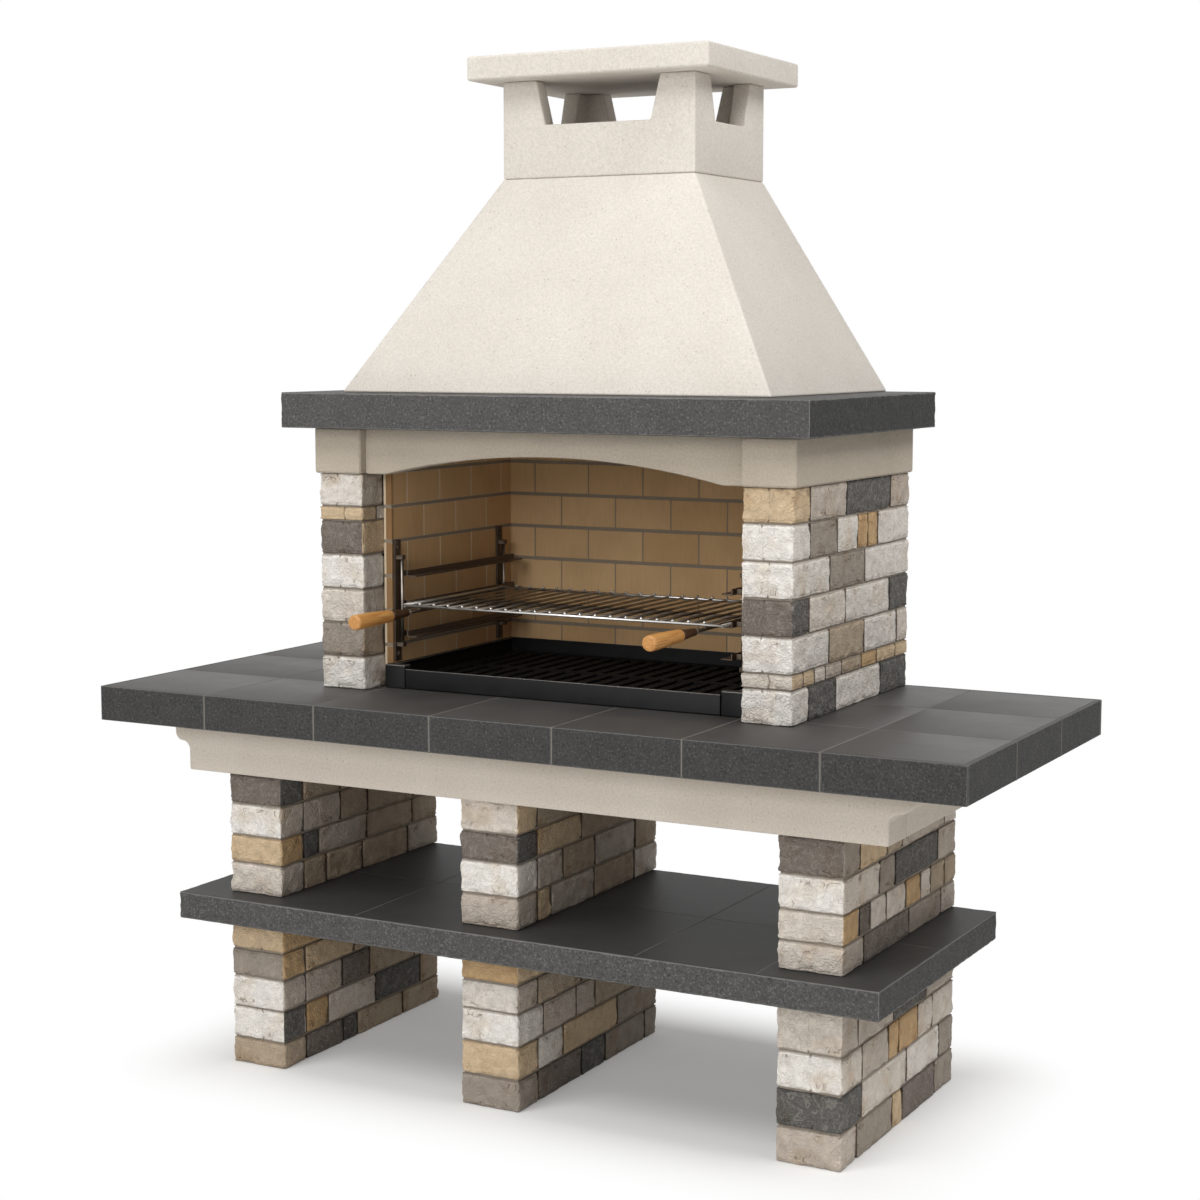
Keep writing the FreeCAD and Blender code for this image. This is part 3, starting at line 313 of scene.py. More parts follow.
veins_and_glints = draw_lines(add, veins_and_glints, 0.0, 0.034, 0.5)
scuff = add("MapRange", grit, 0.52, 0.66, 0.0, 0.22)
veins_and_glints = add("Math MAXIMUM", veins_and_glints, scuff)
# on dark blocks the veins and scuffs are drawn paler and stronger: real marks, and a painted highlight of
# ridges that catch the light
grey = add("RGBToBW", tone)
dark = add("MapRange", grey, 0.13, 0.45, 1.0, 0.3)
veins_and_glints = add("Math MULTIPLY", veins_and_glints, dark)
colour = add("Mix RGBA", veins_and_glints, colour, linear("#a39d95"))
# the seam of a front made of two stones: a hair line, with small chips broken out at the beds
wander = add("TexNoise", place, Scale=1 / 0.030, Detail=3.0)
wander = add("Math MULTIPLY_ADD", wander, 0.020, -0.010)
from_seam = add("Math ADD", across, wander)
from_seam = add("Math ABSOLUTE", from_seam)
line = add("MapRange", from_seam, 0.0004, 0.0018, 0.10, 0.0)
chip = add("MapRange", rise, 0.002, 0.009, 0.003, 0.0)
chip = add("Math SUBTRACT", chip, from_seam)
chip = add("MapRange", chip, 0.0, 0.0012, 0.0, 0.6)
seam = add("Math MAXIMUM", line, chip)
# short cracks where flakes have lifted, in the stained patches within 25 mm of a bed; they are hair
# lines, drawn 2 mm wide so that they show
crack = add("TexNoise", place, Scale=1 / 0.034, Detail=2.0, Distortion=0.8)
crack = draw_lines(add, crack, 0.008, 0.024, 0.6)
near_bed = add("MapRange", rise, 0.014, 0.025, 1.0, 0.0)
off_bed = add("MapRange", rise, 0.004, 0.007)
weathered = add("MapRange", patch, 0.0, 0.1)
for share in (near_bed, off_bed, weathered):
    crack = add("Math MULTIPLY", crack, share)
seam = add("Math MAXIMUM", seam, crack)
colour = add("Mix RGBA", seam, colour, linear("#6e6152"), blend_type="MULTIPLY")
# painted shade in the hollows of the hammered faces, deepest where they sink most
colour = stain(add, colour, hollow, 0.45, 1.0, 0.16, "#8a7c6b", "MULTIPLY")
# painted highlight on the rounded arrises
colour = shade(add, colour, arris, 0.0, 1.0, 1.0, 1.12)
# painted shade on the faces inside the joints and on the rims of the beds
colour = stain(add, colour, joint, 0.0, 1.0, 0.85, "#5a4f44", "MULTIPLY")
# tool marks: ridges that wander over the face, 15 mm apart, with finer grain on them
ridge = add("TexNoise", place, Scale=1 / 0.015, Detail=2.0, Distortion=1.2)
ridge = draw_lines(add, ridge, 0.0, 0.12, 0.0, 1.0)
grain = add("TexNoise", place, Scale=1 / 0.010, Detail=3.0, Roughness=0.55)
height = add("Math MULTIPLY_ADD", ridge, 0.6, grain)
height = add("Math MULTIPLY_ADD", seam, -0.6, height)
surface(add, shader, colour, height, 0.8, 0.003)


def mottled(name, mottle, dark, pale, rough=None, bumps=None, **settings):
    """A material mottled between two tones and, where they are given, two roughnesses. mottle is the size
    and the detail of the pattern; bumps adds those of a skin, its strength and its relief."""
    made, add, shader, place = new_material(name, **settings)
    mottling = add("TexNoise", place, Scale=1 / mottle[0], Detail=mottle[1])
    colour = add("Mix RGBA", mottling, linear(dark), linear(pale))
    sheen = rough and add("MapRange", mottling, 0.3, 0.7, *rough)
    skin, strength, relief = None, 0.0, 0.0
    if bumps:
        size, detail, strength, relief = bumps
        skin = add("TexNoise", place, Scale=1 / size, Detail=detail)
    surface(add, shader, colour, skin, strength, relief, sheen)
    return made


# Sandy bedding mortar, dead matt, struck back from the face, a little darker than the palest blocks.
DEAD_MATT = {"Roughness": 0.95, "Specular_IOR_Level": 0.2}
mortar = mottled("bedding_mortar", (0.003, 3.0), "#857b6f", "#a2988b", bumps=(0.003, 3.0, 0.5, 0.001),
                 **DEAD_MATT)

STONE_TONES = {"chalk": "#efeae3", "ash": "#e2dbd2", "ivory": "#dbd1c5", "sand": "#d1b998",
               "honey": "#c7a67b", "tan": "#b5a38d", "greige": "#c2b6a9",
               "taupe": "#9f9488", "umber": "#776d65", "slate": "#5c5a57"}
# The height of mortar that shows between two courses.
BED = 0.0025
# How far the seam of a front may be from its middle.
SEAM_SHIFT = 0.012
# A face is square to an axis where its normal reaches this far along it.
SQUARE = 0.99


def courses_of(node):
    """Blocks of a CAD stack as pairs of corners, course by course from the bottom, front to back, bedded
    down until the beds are thin."""
    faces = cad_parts[node].data.polygons
    low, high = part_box(node)
    beds = sorted({round(face.center.z, 4) for face in faces if abs(face.normal.z) > SQUARE})
    for lower in range(1, len(beds) - 1, 2):
        middle = (beds[lower] + beds[lower + 1]) / 2
        beds[lower:lower + 2] = middle - BED / 2, middle + BED / 2
    courses = []
    for bottom, top in zip(beds[::2], beds[1::2]):
        ends = sorted({round(face.center.y, 4) for face in faces
                       if abs(face.normal.y) > SQUARE and bottom < face.center.z < top})
        courses.append([(Vector((low.x, front, bottom)), Vector((high.x, back, top)))
                        for front, back in zip(ends, ends[1:])])
    return courses


def add_piece(name, mesh):
    piece = bpy.data.objects.new(name, mesh)
    bpy.context.scene.collection.objects.link(piece)
    return piece


def make_plain(piece):
    """Turn a piece and its modifiers into a plain mesh."""
    graph = bpy.context.evaluated_depsgraph_get()
    done = bpy.data.meshes.new_from_object(piece.evaluated_get(graph), preserve_all_data_layers=True,
                                           depsgraph=graph)
    piece.modifiers.clear()
    piece.data = done
    return piece


def work(name, mesh, tree, inputs):
    """A plain piece made from a mesh by a tree of geometry nodes."""
    piece = add_piece(name, mesh)
    modifier = piece.modifiers.new(tree.name, "NODES")
    modifier.node_group = tree
    sockets = {item.name: item.identifier for item in tree.interface.items_tree if item.in_out == "INPUT"}
    for key, value in inputs.items():
        modifier[sockets[key]] = value
    return make_plain(piece)


def hammer(name, blocks, arris, relief, chip, grain, material, *unneeded):
    """A piece of hammered blocks, without the notes that its material has no use for."""
    piece = work(name, blocks.mesh(name), hammered, {"Arris": arris, "Relief": relief, "Chip Size": chip,
                                                     "Grain Size": grain, "Material": material})
    for note in ("block_middle", "block_half", "block_number", *unneeded):
        piece.data.attributes.remove(piece.data.attributes[note])
    return piece


def stand_for(piece, body, slot, node):
    """A piece takes the place of a CAD node on its body."""
    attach(piece, body)
    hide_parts(node)


def dress(material, node):
    """Give a CAD node that keeps its shape its material."""
    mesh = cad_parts[node].data
    mesh.materials.clear()
    mesh.materials.append(material)


def build_stack(node, seams, tones):
    """A stack of hammered blocks in place of a CAD node. seams is the share of fronts made of two stones.
    tones has a line of words for each course from the bottom, front to back; a word after a stroke is
    the tone of the block's right-hand side."""
    blocks = Blocks()
    chance = random.Random(node)
    for course, words in zip(courses_of(node), tones):
        words = words.split()
        for number, (low, high) in enumerate(course):
            shown = {"left", "right"}
            seam = None
            if number == 0:
                shown.add("front")
                if chance.random() < seams:
                    seam = (low.x + high.x) / 2 + chance.uniform(-SEAM_SHIFT, SEAM_SHIFT)
            if number == len(course) - 1:
                shown.add("back")
            word = words[number].split("/")
            colours = dict.fromkeys(SIDE_NAMES, linear(STONE_TONES[word[0]]))
            colours["right"] = linear(STONE_TONES[word[-1]])
            blocks.add(low, high, shown, colours, seam)
    name = node.replace("_stones", "")
    piece = hammer(name, blocks, 0.0095, 0.0045, 0.030, 0.010, limestone, "shown")
    stand_for(piece, "masonry", "split_stone", node)


build_stack("lower_left_pier_stones", 0.4, [
    "tan umber slate tan tan",
    "chalk/slate honey ivory slate tan",
    "chalk/greige greige umber tan sand",
    "taupe/honey sand tan sand",
    "sand/honey sand tan tan"])
build_stack("lower_middle_pier_stones", 0.4, [
    "taupe umber slate taupe taupe",
    "sand ash sand taupe",
    "chalk/ash greige greige tan tan",
    "ash/greige tan tan tan sand",
    "honey/sand sand tan tan"])
build_stack("lower_right_pier_stones", 0.4, [
    "greige taupe sand umber taupe",
    "slate ivory ash taupe",
    "chalk/ivory greige honey honey ivory ivory",
    "ivory/greige greige slate greige"])
dress(mortar, "lower_pier_mortar")


# Shelf
# A dark slab of cast stone on the lower piers. Its top is ground smooth, with shallow grouted joints
# cut in it as if it were tiled, and its edges are left hammered.

# Dark cast stone: satin where it is ground, flecked where it is hammered. Its colour is near black on
# the ground top and paler on the hammered edges, partly from the finish and partly as a painted shade on
# the top; the short ends of a slab are dimmed as a painted shade, and its arrises carry a painted
# highlight.
dark_slab, add, shader, place = new_material("dark_cast_stone", IOR=1.5, Specular_IOR_Level=0.15)
knocked, arris = (add("Attribute", out="Fac", attribute_name=note) for note in ("shown", "arris"))
tone = add("Attribute", attribute_name="tone")
cloud = add("TexNoise", place, Scale=1 / 0.055, Detail=5.0, Roughness=0.65)
# the ground top is darker than the hammered edges: partly its finish, partly a painted shade
ground_and_shaded_colour, colour = (add("Mix RGBA", cloud, linear(dark), linear(pale))
                         for dark, pale in (("#353433", "#454443"), ("#464545", "#5b5a59")))
fleck = add("TexNoise", place, Scale=1 / 0.005, Detail=3.0, Roughness=0.7)
colour = stain(add, colour, fleck, 0.55, 0.68, 0.5, "#8c8b89")
colour = stain(add, colour, fleck, 0.46, 0.32, 0.65, "#242424")
# the piece's tone: a painted shade on the short ends of a slab; the edge tiles are dimmed all over
colour = add("Mix RGBA", 1.0, colour, tone, blend_type="MULTIPLY")
colour = add("Mix RGBA", knocked, ground_and_shaded_colour, colour)
# the arrises are painted pale, a painted highlight along the edges
colour = stain(add, colour, arris, 0.0, 1.0, 0.55, "#a3a19d")
satin = add("MapRange", knocked, 0.0, 1.0, 0.5, 0.75)
skin = add("TexNoise", place, Scale=1 / 0.012, Detail=5.0, Roughness=0.65)
knocks = add("MapRange", knocked, 0.0, 1.0, 0.15, 1.0)
skin = add("Math MULTIPLY", skin, knocks)
surface(add, shader, colour, skin, 0.9, 0.003, satin)

# Cement grout: grey, sandy and dead matt.
grout = mottled("cement_grout", (0.004, 3.0), "#686560", "#84807a", **DEAD_MATT)

# Corners that are closer than this are one corner.
MERGE = 0.00002
# The joints in the shelf's top: their width, their depth in the CAD node, and how far the grout stands
# back from the top.
SHELF_JOINT = 0.003
SHELF_JOINT_DEPTH = 0.002
SHELF_GROUT_BACK = 0.0003
# The flats of a slab are larger than this, in square metres; all its other faces are smaller.
FLAT_AREA = 0.001


def rough_slab(node, ends):
    """A block with rough edges in place of a slab: its top and bottom are flat faces inside the rims,
    and its short ends are darkened by a colour, a painted shade."""
    blocks = Blocks()
    tones = dict(zip(SIDE_NAMES, 2 * (linear("#ffffff"), linear(ends))))
    blocks.add(*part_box(node), set(SIDE_NAMES), tones)
    name = node.replace("_slab", "")
    piece = hammer(name, blocks, 0.0045, 0.0022, 0.020, 0.007, dark_slab, "joint", "across", "rise")
    for face in piece.data.polygons:
        face.use_smooth = abs(face.normal.z) < SQUARE or face.area < FLAT_AREA
    return piece


def joint_lines(node):
    """Middles of the shallow joints in a slab's top, along X and along Y, from the CAD node."""
    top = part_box(node)[1].z
    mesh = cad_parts[node].data
    floors = [face for face in mesh.polygons if face.normal.z > SQUARE
              and 0.25 * SHELF_JOINT_DEPTH < top - face.center.z < 1.5 * SHELF_JOINT_DEPTH]
    across, along = set(), set()
    for face in floors:
        corners = [mesh.vertices[vertex].co for vertex in face.vertices]
        for axis, found in ((0, across), (1, along)):
            ends = [corner[axis] for corner in corners]
            if max(ends) - min(ends) < 2 * SHELF_JOINT:
                found.add(round((max(ends) + min(ends)) / 2, 4))
    return sorted(across), sorted(along)


def cut_flats(slab, flats, axis, place):
    """Cut flat faces of a slab along a line across an axis."""
    normal = Vector((axis == 0, axis == 1, 0))
    edges = {edge for face in flats for edge in face.edges}
    corners = {corner for face in flats for corner in face.verts}
    bmesh.ops.bisect_plane(slab, geom=[*flats, *edges, *corners], dist=1e-6, plane_co=normal * place,
                           plane_no=normal)


# the shelf's short ends get a painted shade
shelf = rough_slab("shelf_slab", "#e1e1e1")
shelf.data.materials.append(grout)
slab = bmesh.new()
slab.from_mesh(shelf.data)
shelf_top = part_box("shelf_slab")[1].z
for axis, lines in enumerate(joint_lines("shelf_slab")):
    for line in lines:
        for side_place in (line - SHELF_JOINT / 2, line + SHELF_JOINT / 2):
            tops = [face for face in slab.faces if face.normal.z > SQUARE and face.calc_area() > FLAT_AREA
                    and face.calc_center_median().z > shelf_top - SHELF_GROUT_BACK]
            cut_flats(slab, tops, axis, side_place)
        floor = [face for face in slab.faces if face.normal.z > SQUARE
                 and face.calc_center_median().z > shelf_top - SHELF_GROUT_BACK
                 and all(abs(corner.co[axis] - line) < SHELF_JOINT / 2 + MERGE for corner in face.verts)]
        for item in bmesh.ops.extrude_face_region(slab, geom=floor)["geom"]:
            if isinstance(item, bmesh.types.BMVert):
                item.co.z -= SHELF_GROUT_BACK
            elif isinstance(item, bmesh.types.BMFace):
                item.material_index = 1
        bmesh.ops.delete(slab, geom=floor, context="FACES_ONLY")
slab.to_mesh(shelf.data)
slab.free()
stand_for(shelf, "masonry", "dark_slab", "shelf_slab")


# Upper piers
# The same limestone blocks in four courses on mortar beds, standing on the shelf over the lower piers
# and carrying the beams.
build_stack("upper_left_pier_stones", 0.4, [
    "ivory/greige tan tan tan greige",
    "sand/honey slate greige tan tan",
    "chalk/greige greige tan tan tan",
    "umber/slate tan tan tan greige"])
build_stack("upper_middle_pier_stones", 0.4, [
    "greige sand greige tan ivory",
    "chalk/ash greige tan greige tan",
    "umber/slate sand tan tan",
    "ivory/sand tan tan greige tan"])
build_stack("upper_right_pier_stones", 0.4, [
    "ivory/greige umber taupe greige",
    "ivory/honey umber ivory ivory honey ivory tan tan",
    "chalk/ivory taupe slate greige",
    "umber/taupe sand tan greige ivory"])
dress(mortar, "upper_pier_mortar")


# Beams
# A ring of four cast beams on the upper piers, in stone-coloured concrete with a sanded skin; the front
# and rear beams end in an ogee. Their arrises are a little worn.
def cast_concrete(name, dark, pale, knocks):
    """Concrete with a sanded skin: cloudy between two tones, grainy, with small open pores and more or
    less of the knocks of a hammer."""
    made, add, shader, place = new_material(name, Roughness=0.9, IOR=1.5, Specular_IOR_Level=0.25)
    cloud = add("TexNoise", place, Scale=1 / 0.16, Detail=4.0)
    colour = add("Mix RGBA", cloud, linear(dark), linear(pale))
    # sand grains of 1 to 2 mm and pores of 2 to 4 mm, both drawn a little coarse so that they show
    grain = add("TexNoise", place, Scale=1 / 0.005, Detail=3.0, Roughness=0.75)
    colour = shade(add, colour, grain, 0.3, 0.7, 0.86, 1.09)
    pore = add("TexVoronoi", place, Scale=1 / 0.011)
    pore = add("MapRange", pore, 0.10, 0.19, 0.5, 0.0)
    sparse = add("TexNoise", place, Scale=1 / 0.03, Detail=1.0)
    sparse = add("MapRange", sparse, 0.5, 0.62)
    pore = add("Math MULTIPLY", pore, sparse)
    colour = add("Mix RGBA", pore, colour, linear("#8d8071"))
    height = add("Math MULTIPLY_ADD", pore, -1.0, grain)
    knock = add("TexNoise", place, Scale=1 / 0.016, Detail=3.0, Distortion=1.0)
    height = add("Math MULTIPLY_ADD", knock, knocks, height)
    surface(add, shader, colour, height, 0.5, 0.0012)
    return made


# The beams' concrete, lightly knocked.
stone_concrete = cast_concrete("sanded_stone_concrete", "#c4baad", "#d5ccc0", 0.5)
# Faces that meet at less than the first angle are one face; edges sharper than the second are arrises.
ONE_FACE = math.radians(0.17)
ARRIS_ANGLE = math.radians(25)
# A face belongs to an upper arris where its normal rises this far.
UPWARD = 0.3


def copy_of(node):
    """A CAD node's solids, each with its corners joined, as a mesh to work on."""
    copy = bmesh.new()
    copy.from_mesh(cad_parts[node].data)
    bmesh.ops.remove_doubles(copy, verts=copy.verts, dist=MERGE)
    return copy


def piece_of(name, solid, *materials):
    """A piece from a mesh that has been worked on."""
    mesh = bpy.data.meshes.new(name)
    solid.to_mesh(mesh)
    solid.free()
    for material in materials:
        mesh.materials.append(material)
    return add_piece(name, mesh)


def rounded(name, solid, material, arris, segments, highlight_rim=None):
    """A piece with its arrises rounded over; the rim material, a painted highlight, goes on the upper
    ones.
    """
    bmesh.ops.dissolve_limit(solid, angle_limit=ONE_FACE, verts=solid.verts, edges=solid.edges)
    for face in solid.faces:
        face.smooth = True
    piece = piece_of(name, solid, material)
    bevel = piece.modifiers.new("arris", "BEVEL")
    bevel.width = arris
    bevel.segments = segments
    bevel.limit_method = "ANGLE"
    bevel.angle_limit = ARRIS_ANGLE
    bevel.harden_normals = True
    if highlight_rim:
        piece.data.materials.append(highlight_rim)
        bevel.material = 1
    make_plain(piece)
    # only the upper arrises keep the painted highlight of the rim material
    for face in piece.data.polygons:
        if face.normal.z < UPWARD:
            face.material_index = 0
    return piece


def soften(name, node, body, slot, material, arris, segments=3, highlight_rim=None):
    """A rounded copy of a CAD node in the node's place."""
    stand_for(rounded(name, copy_of(node), material, arris, segments, highlight_rim), body, slot, node)


for beam in ("front_beam", "rear_beam", "left_side_beam", "right_side_beam"):
    soften(f"{beam}_cast", beam, "masonry", "cream_concrete", stone_concrete, 0.004)


# Worktop
# A cast slab covered with square dark stoneware tiles, 300 mm on centres, with edge tiles hung round
# it and narrow cement joints between them all.

# Plain grey concrete, matt and cloudy.
grey_concrete = mottled("plain_grey_concrete", (0.08, 6.0), "#8d8982", "#b4afa6",
                        bumps=(0.08, 6.0, 0.4, 0.002), Roughness=0.92, Specular_IOR_Level=0.3)
dress(grey_concrete, "worktop_slab")

# The joints are filled nearly flush with the tiles; corners this close to a side of the grout are on it.
GROUT_RISE = 0.0007
ON_SIDE = 0.0001
grout_low, grout_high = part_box("worktop_grout")
filling = copy_of("worktop_grout")
for corner in filling.verts:
    for axis in range(3):
        if abs(corner.co[axis] - grout_high[axis]) < ON_SIDE:
            corner.co[axis] += GROUT_RISE
        elif axis < 2 and abs(corner.co[axis] - grout_low[axis]) < ON_SIDE:
            corner.co[axis] -= GROUT_RISE
stand_for(piece_of("joint_filling", filling, grout), "masonry", "tile_grout", "worktop_grout")

# Each tile has its own number, from which it takes its shade within the batch.
batched, add, given = new_tree("batch of tiles", ("Seed",))
island = add("InputMeshIsland")
whole_seed = add("FloatToInt", given["Seed"])
own_tone = add("RandomValue FLOAT", ID=island, Seed=whole_seed)
numbered = add("StoreNamedAttribute FLOAT", given["Geometry"], Name="batch", Value=own_tone)
end_tree(add, numbered, given["Material"])


def lay_batch(name, solid, material, arris, seed, slot, node):
    """Tiles or bricks in a CAD node's place, rounded over, each with its own shade."""
    plain = rounded(f"plain_{name}", solid, material, arris, 2)
    piece = work(name, plain.data, batched, {"Seed": seed, "Material": material})
    bpy.data.objects.remove(plain)
    stand_for(piece, "masonry", slot, node)


# Dark stoneware: smooth, slightly satin, cloudy, with a fine rub of wear.
tile, add, shader, place = new_material("dark_stoneware", IOR=1.5, Specular_IOR_Level=0.36)
batch = add("Attribute", out="Fac", attribute_name="batch")
colour = add("Mix RGBA", batch, linear("#413f3d"), linear("#4a4846"))
cloud = add("TexNoise", place, Scale=1 / 0.09, Detail=5.0, Roughness=0.6)
colour = shade(add, colour, cloud, 0.3, 0.7, 0.90, 1.08)
fleck = add("TexNoise", place, Scale=1 / 0.004, Detail=2.0)
colour = shade(add, colour, fleck, 0.3, 0.7, 0.88, 1.10)
rub = add("MapRange", cloud, 0.3, 0.7, 0.46, 0.54)
surface(add, shader, colour, fleck, 0.25, 0.0006, rub)
lay_batch("top_tiles", copy_of("worktop_top_tiles"), tile, 0.0012, 4.0, "dark_tile", "worktop_top_tiles")


def islands_of(node):
    """Corners of each separate solid in a CAD node."""
    copy = copy_of(node)
    left = set(copy.verts)
    found = []
    while left:
        open_ends = [left.pop()]
        points = []
        while open_ends:
            vertex = open_ends.pop()
            points.append(vertex.co.copy())
            for joined in vertex.link_edges:
                neighbour = joined.other_vert(vertex)
                if neighbour in left:
                    left.remove(neighbour)
                    open_ends.append(neighbour)
        found.append(tuple(Vector(pick(point[axis] for point in points) for axis in range(3))
                           for pick in (min, max)))
    copy.free()
    return sorted(found, key=lambda corners: tuple(corners[0]))


# How thick the edge tiles are.
EDGE_TILE = 0.010
edge_low, edge_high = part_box("worktop_edge_tiles")
edge_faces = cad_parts["worktop_edge_tiles"].data.polygons
edge_blocks = Blocks()
for side, axis, side_low, side_high in (
        ("front", 0, edge_low, Vector((edge_high.x, edge_low.y + EDGE_TILE, edge_high.z))),
        ("back", 0, Vector((edge_low.x, edge_high.y - EDGE_TILE, edge_low.z)), edge_high),
        ("left", 1, edge_low, Vector((edge_low.x + EDGE_TILE, edge_high.y, edge_high.z))),
        ("right", 1, Vector((edge_high.x - EDGE_TILE, edge_low.y, edge_low.z)), edge_high)):
    ends = sorted({round(face.center[axis], 4) for face in edge_faces if abs(face.normal[axis]) > SQUARE
                   and all(side_low[other] < face.center[other] < side_high[other]
                           for other in (1 - axis, 2))})
    for start, end in zip(ends[::2], ends[1::2]):
        low, high = side_low.copy(), side_high.copy()
        low[axis], high[axis] = start, end
        edge_blocks.add(low, high, {side}, dict.fromkeys(SIDE_NAMES, linear("#d0d0d0")))
edge_tiles = hammer("edge_tiles", edge_blocks, 0.0035, 0.0010, 0.018, 0.006, dark_slab, "joint", "across",
                    "rise")
stand_for(edge_tiles, "masonry", "dark_tile", "worktop_edge_tiles")


# Firebox walls
# Two walls of the same limestone blocks on the worktop, seven courses with one thin course, and a
# plain cast panel behind.
build_stack("left_firebox_wall_stones", 1.0, [
    "chalk/ash tan ash slate",
    "taupe/tan ivory sand ash",
    "ivory/greige ash taupe chalk",
    "chalk/ash slate ash sand ash",
    "umber/sand ash tan chalk",
    "sand ivory honey tan ash sand tan ivory",
    "ash/greige taupe ivory slate"])
build_stack("right_firebox_wall_stones", 1.0, [
    "chalk/ash slate ash slate",
    "ivory/sand sand ivory greige tan honey sand sand",
    "chalk/ash tan ash ivory",
    "umber/slate ivory ash slate",
    "chalk/ash taupe ash",
    "chalk/ash taupe ash honey honey ash",
    "sand greige slate greige"])
dress(mortar, "firebox_wall_mortar")
soften("back_panel", "back_wall", "masonry", "grey_concrete", grey_concrete, 0.003)


# Firebrick lining
# Pressed firebrick slips in running bond inside the walls and the back panel, on a bed of mortar
# that also fills the joints, about a millimetre back from the face.

# Pressed firebrick: sandy buff, matt, each slip with its own shade, sooty in patches.
firebrick, add, shader, place = new_material("pressed_firebrick", Roughness=0.9, Specular_IOR_Level=0.25)
batch = add("Attribute", out="Fac", attribute_name="batch")
colour = add("Mix RGBA", batch, linear("#d2aa7a"), linear("#dfbb8d"))
# upright streaks from the press, about 5 mm apart
stretch = add("Mapping", place, Scale=(200.0, 200.0, 16.0))
streak = add("TexNoise", stretch, Scale=1.0, Detail=3.0)
colour = shade(add, colour, streak, 0.3, 0.7, 0.95, 1.05)
soot = add("TexNoise", place, Scale=1 / 0.12, Detail=4.0)
colour = stain(add, colour, soot, 0.45, 0.75, 0.15, "#6b4f33", "MULTIPLY")
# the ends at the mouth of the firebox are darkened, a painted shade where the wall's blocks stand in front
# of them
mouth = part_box("left_lining_bricks")[0].y
inwards = add("SeparateXYZ", place, out="Y")
colour = stain(add, colour, inwards, mouth + 0.012, mouth + 0.002, 0.7, "#8a7560", "MULTIPLY")
surface(add, shader, colour, streak, 0.3, 0.0008)

# The slips nearly meet end to end; the beds between the courses are wider. The mortar stands back from
# the face by less in the end joints of the side walls.
SLIP_JOINT = 0.008
SLIP_END_JOINT = 0.003
SLIP_ARRIS = 0.0015
FIRE_JOINT_BACK = 0.0012
SIDE_JOINT_BACK = 0.0004
# A slip this close to an end of its wall isn't grown there, and a bed thinner than this is left out.
AT_END = 0.001
THINNEST = 0.0005


def add_box(solid, low, high):
    """Add a box between two corners to a mesh that is being built; returns the box's corners."""
    corners = bmesh.ops.create_cube(solid, size=1.0)["verts"]
    bmesh.ops.scale(solid, vec=high - low, verts=corners)
    bmesh.ops.translate(solid, vec=(low + high) / 2, verts=corners)
    return corners


def lay_slips(wall, along, seed):
    """Firebrick slips of one wall, grown end to end, each with its own shade; returns the courses."""
    node = f"{wall}_lining_bricks"
    wall_low, wall_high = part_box(node)
    courses = {}
    laid = bmesh.new()
    for low, high in islands_of(node):
        courses[round(low.z, 4)] = round(high.z, 4)
        grown = (SLIP_JOINT - SLIP_END_JOINT) / 2
        if low[along] > wall_low[along] + AT_END:
            low[along] -= grown
        if high[along] < wall_high[along] - AT_END:
            high[along] += grown
        add_box(laid, low, high)
    lay_batch(f"{wall}_slips", laid, firebrick, SLIP_ARRIS, seed, "firebrick", node)
    return sorted(courses.items())


slip_courses = lay_slips("back", 0, 11.0)
lay_slips("left", 1, 12.0)
lay_slips("right", 1, 13.0)

# Fire mortar: sandy in the end joints of the side walls, and grey with ash elsewhere.
sandy_mortar = mottled("sandy_fire_mortar", (0.004, 3.0), "#e2cfae", "#efdfc3", **DEAD_MATT)
ashy_mortar = mottled("ashy_fire_mortar", (0.004, 3.0), "#8a7d6d", "#a59886", **DEAD_MATT)

bed_low, bed_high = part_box("lining_mortar")
back_low, back_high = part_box("back_lining_bricks")
left_low, left_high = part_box("left_lining_bricks")
right_low, right_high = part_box("right_lining_bricks")
levels = [bed_low.z] + [level for course in slip_courses for level in course] + [bed_high.z]
bed = bmesh.new()
for number, (bottom, top) in enumerate(zip(levels, levels[1:])):
    if top - bottom < THINNEST:
        continue
    side_back = SIDE_JOINT_BACK if number % 2 else FIRE_JOINT_BACK
    for wall, low, high in (
            ("back", Vector((back_low.x, back_low.y + FIRE_JOINT_BACK, bottom)),
             Vector((back_high.x, bed_high.y, top))),
            ("left", Vector((bed_low.x, left_low.y + FIRE_JOINT_BACK, bottom)),
             Vector((left_high.x - side_back, left_high.y, top))),
            ("right", Vector((right_low.x + side_back, right_low.y + FIRE_JOINT_BACK, bottom)),
             Vector((bed_high.x, right_high.y, top)))):
        for face in {face for corner in add_box(bed, low, high) for face in corner.link_faces}:
            face.material_index = 0 if wall != "back" and number % 2 else 1
stand_for(piece_of("lining_bed", bed, sandy_mortar, ashy_mortar), "masonry", "mortar", "lining_mortar")


# Lintels
# Cast blocks along the top of the walls and an arched lintel between them, in a sanded concrete made
# darker than the beams' as a painted shade under the mantel.

# Concrete darker than the beams, a painted shade under the mantel, and well knocked.
shade_darkened_concrete = cast_concrete("shade_darkened_stone_concrete", "#b1a696", "#c2b7a7", 4.0)
for lintel in ("left_side_lintel", "right_side_lintel"):
    soften(f"{lintel}_cast", lintel, "masonry", "cream_concrete", shade_darkened_concrete, 0.005)
soften("arch_cast", "arch_lintel", "masonry", "cream_concrete", shade_darkened_concrete, 0.004)


# Mantel
# A dark cast slab resting on the lintels, hammered round its edges and flat above and below, with the
# smoke throat through it.

# The corners of the throat lie farther in than this.
RIM = 0.02
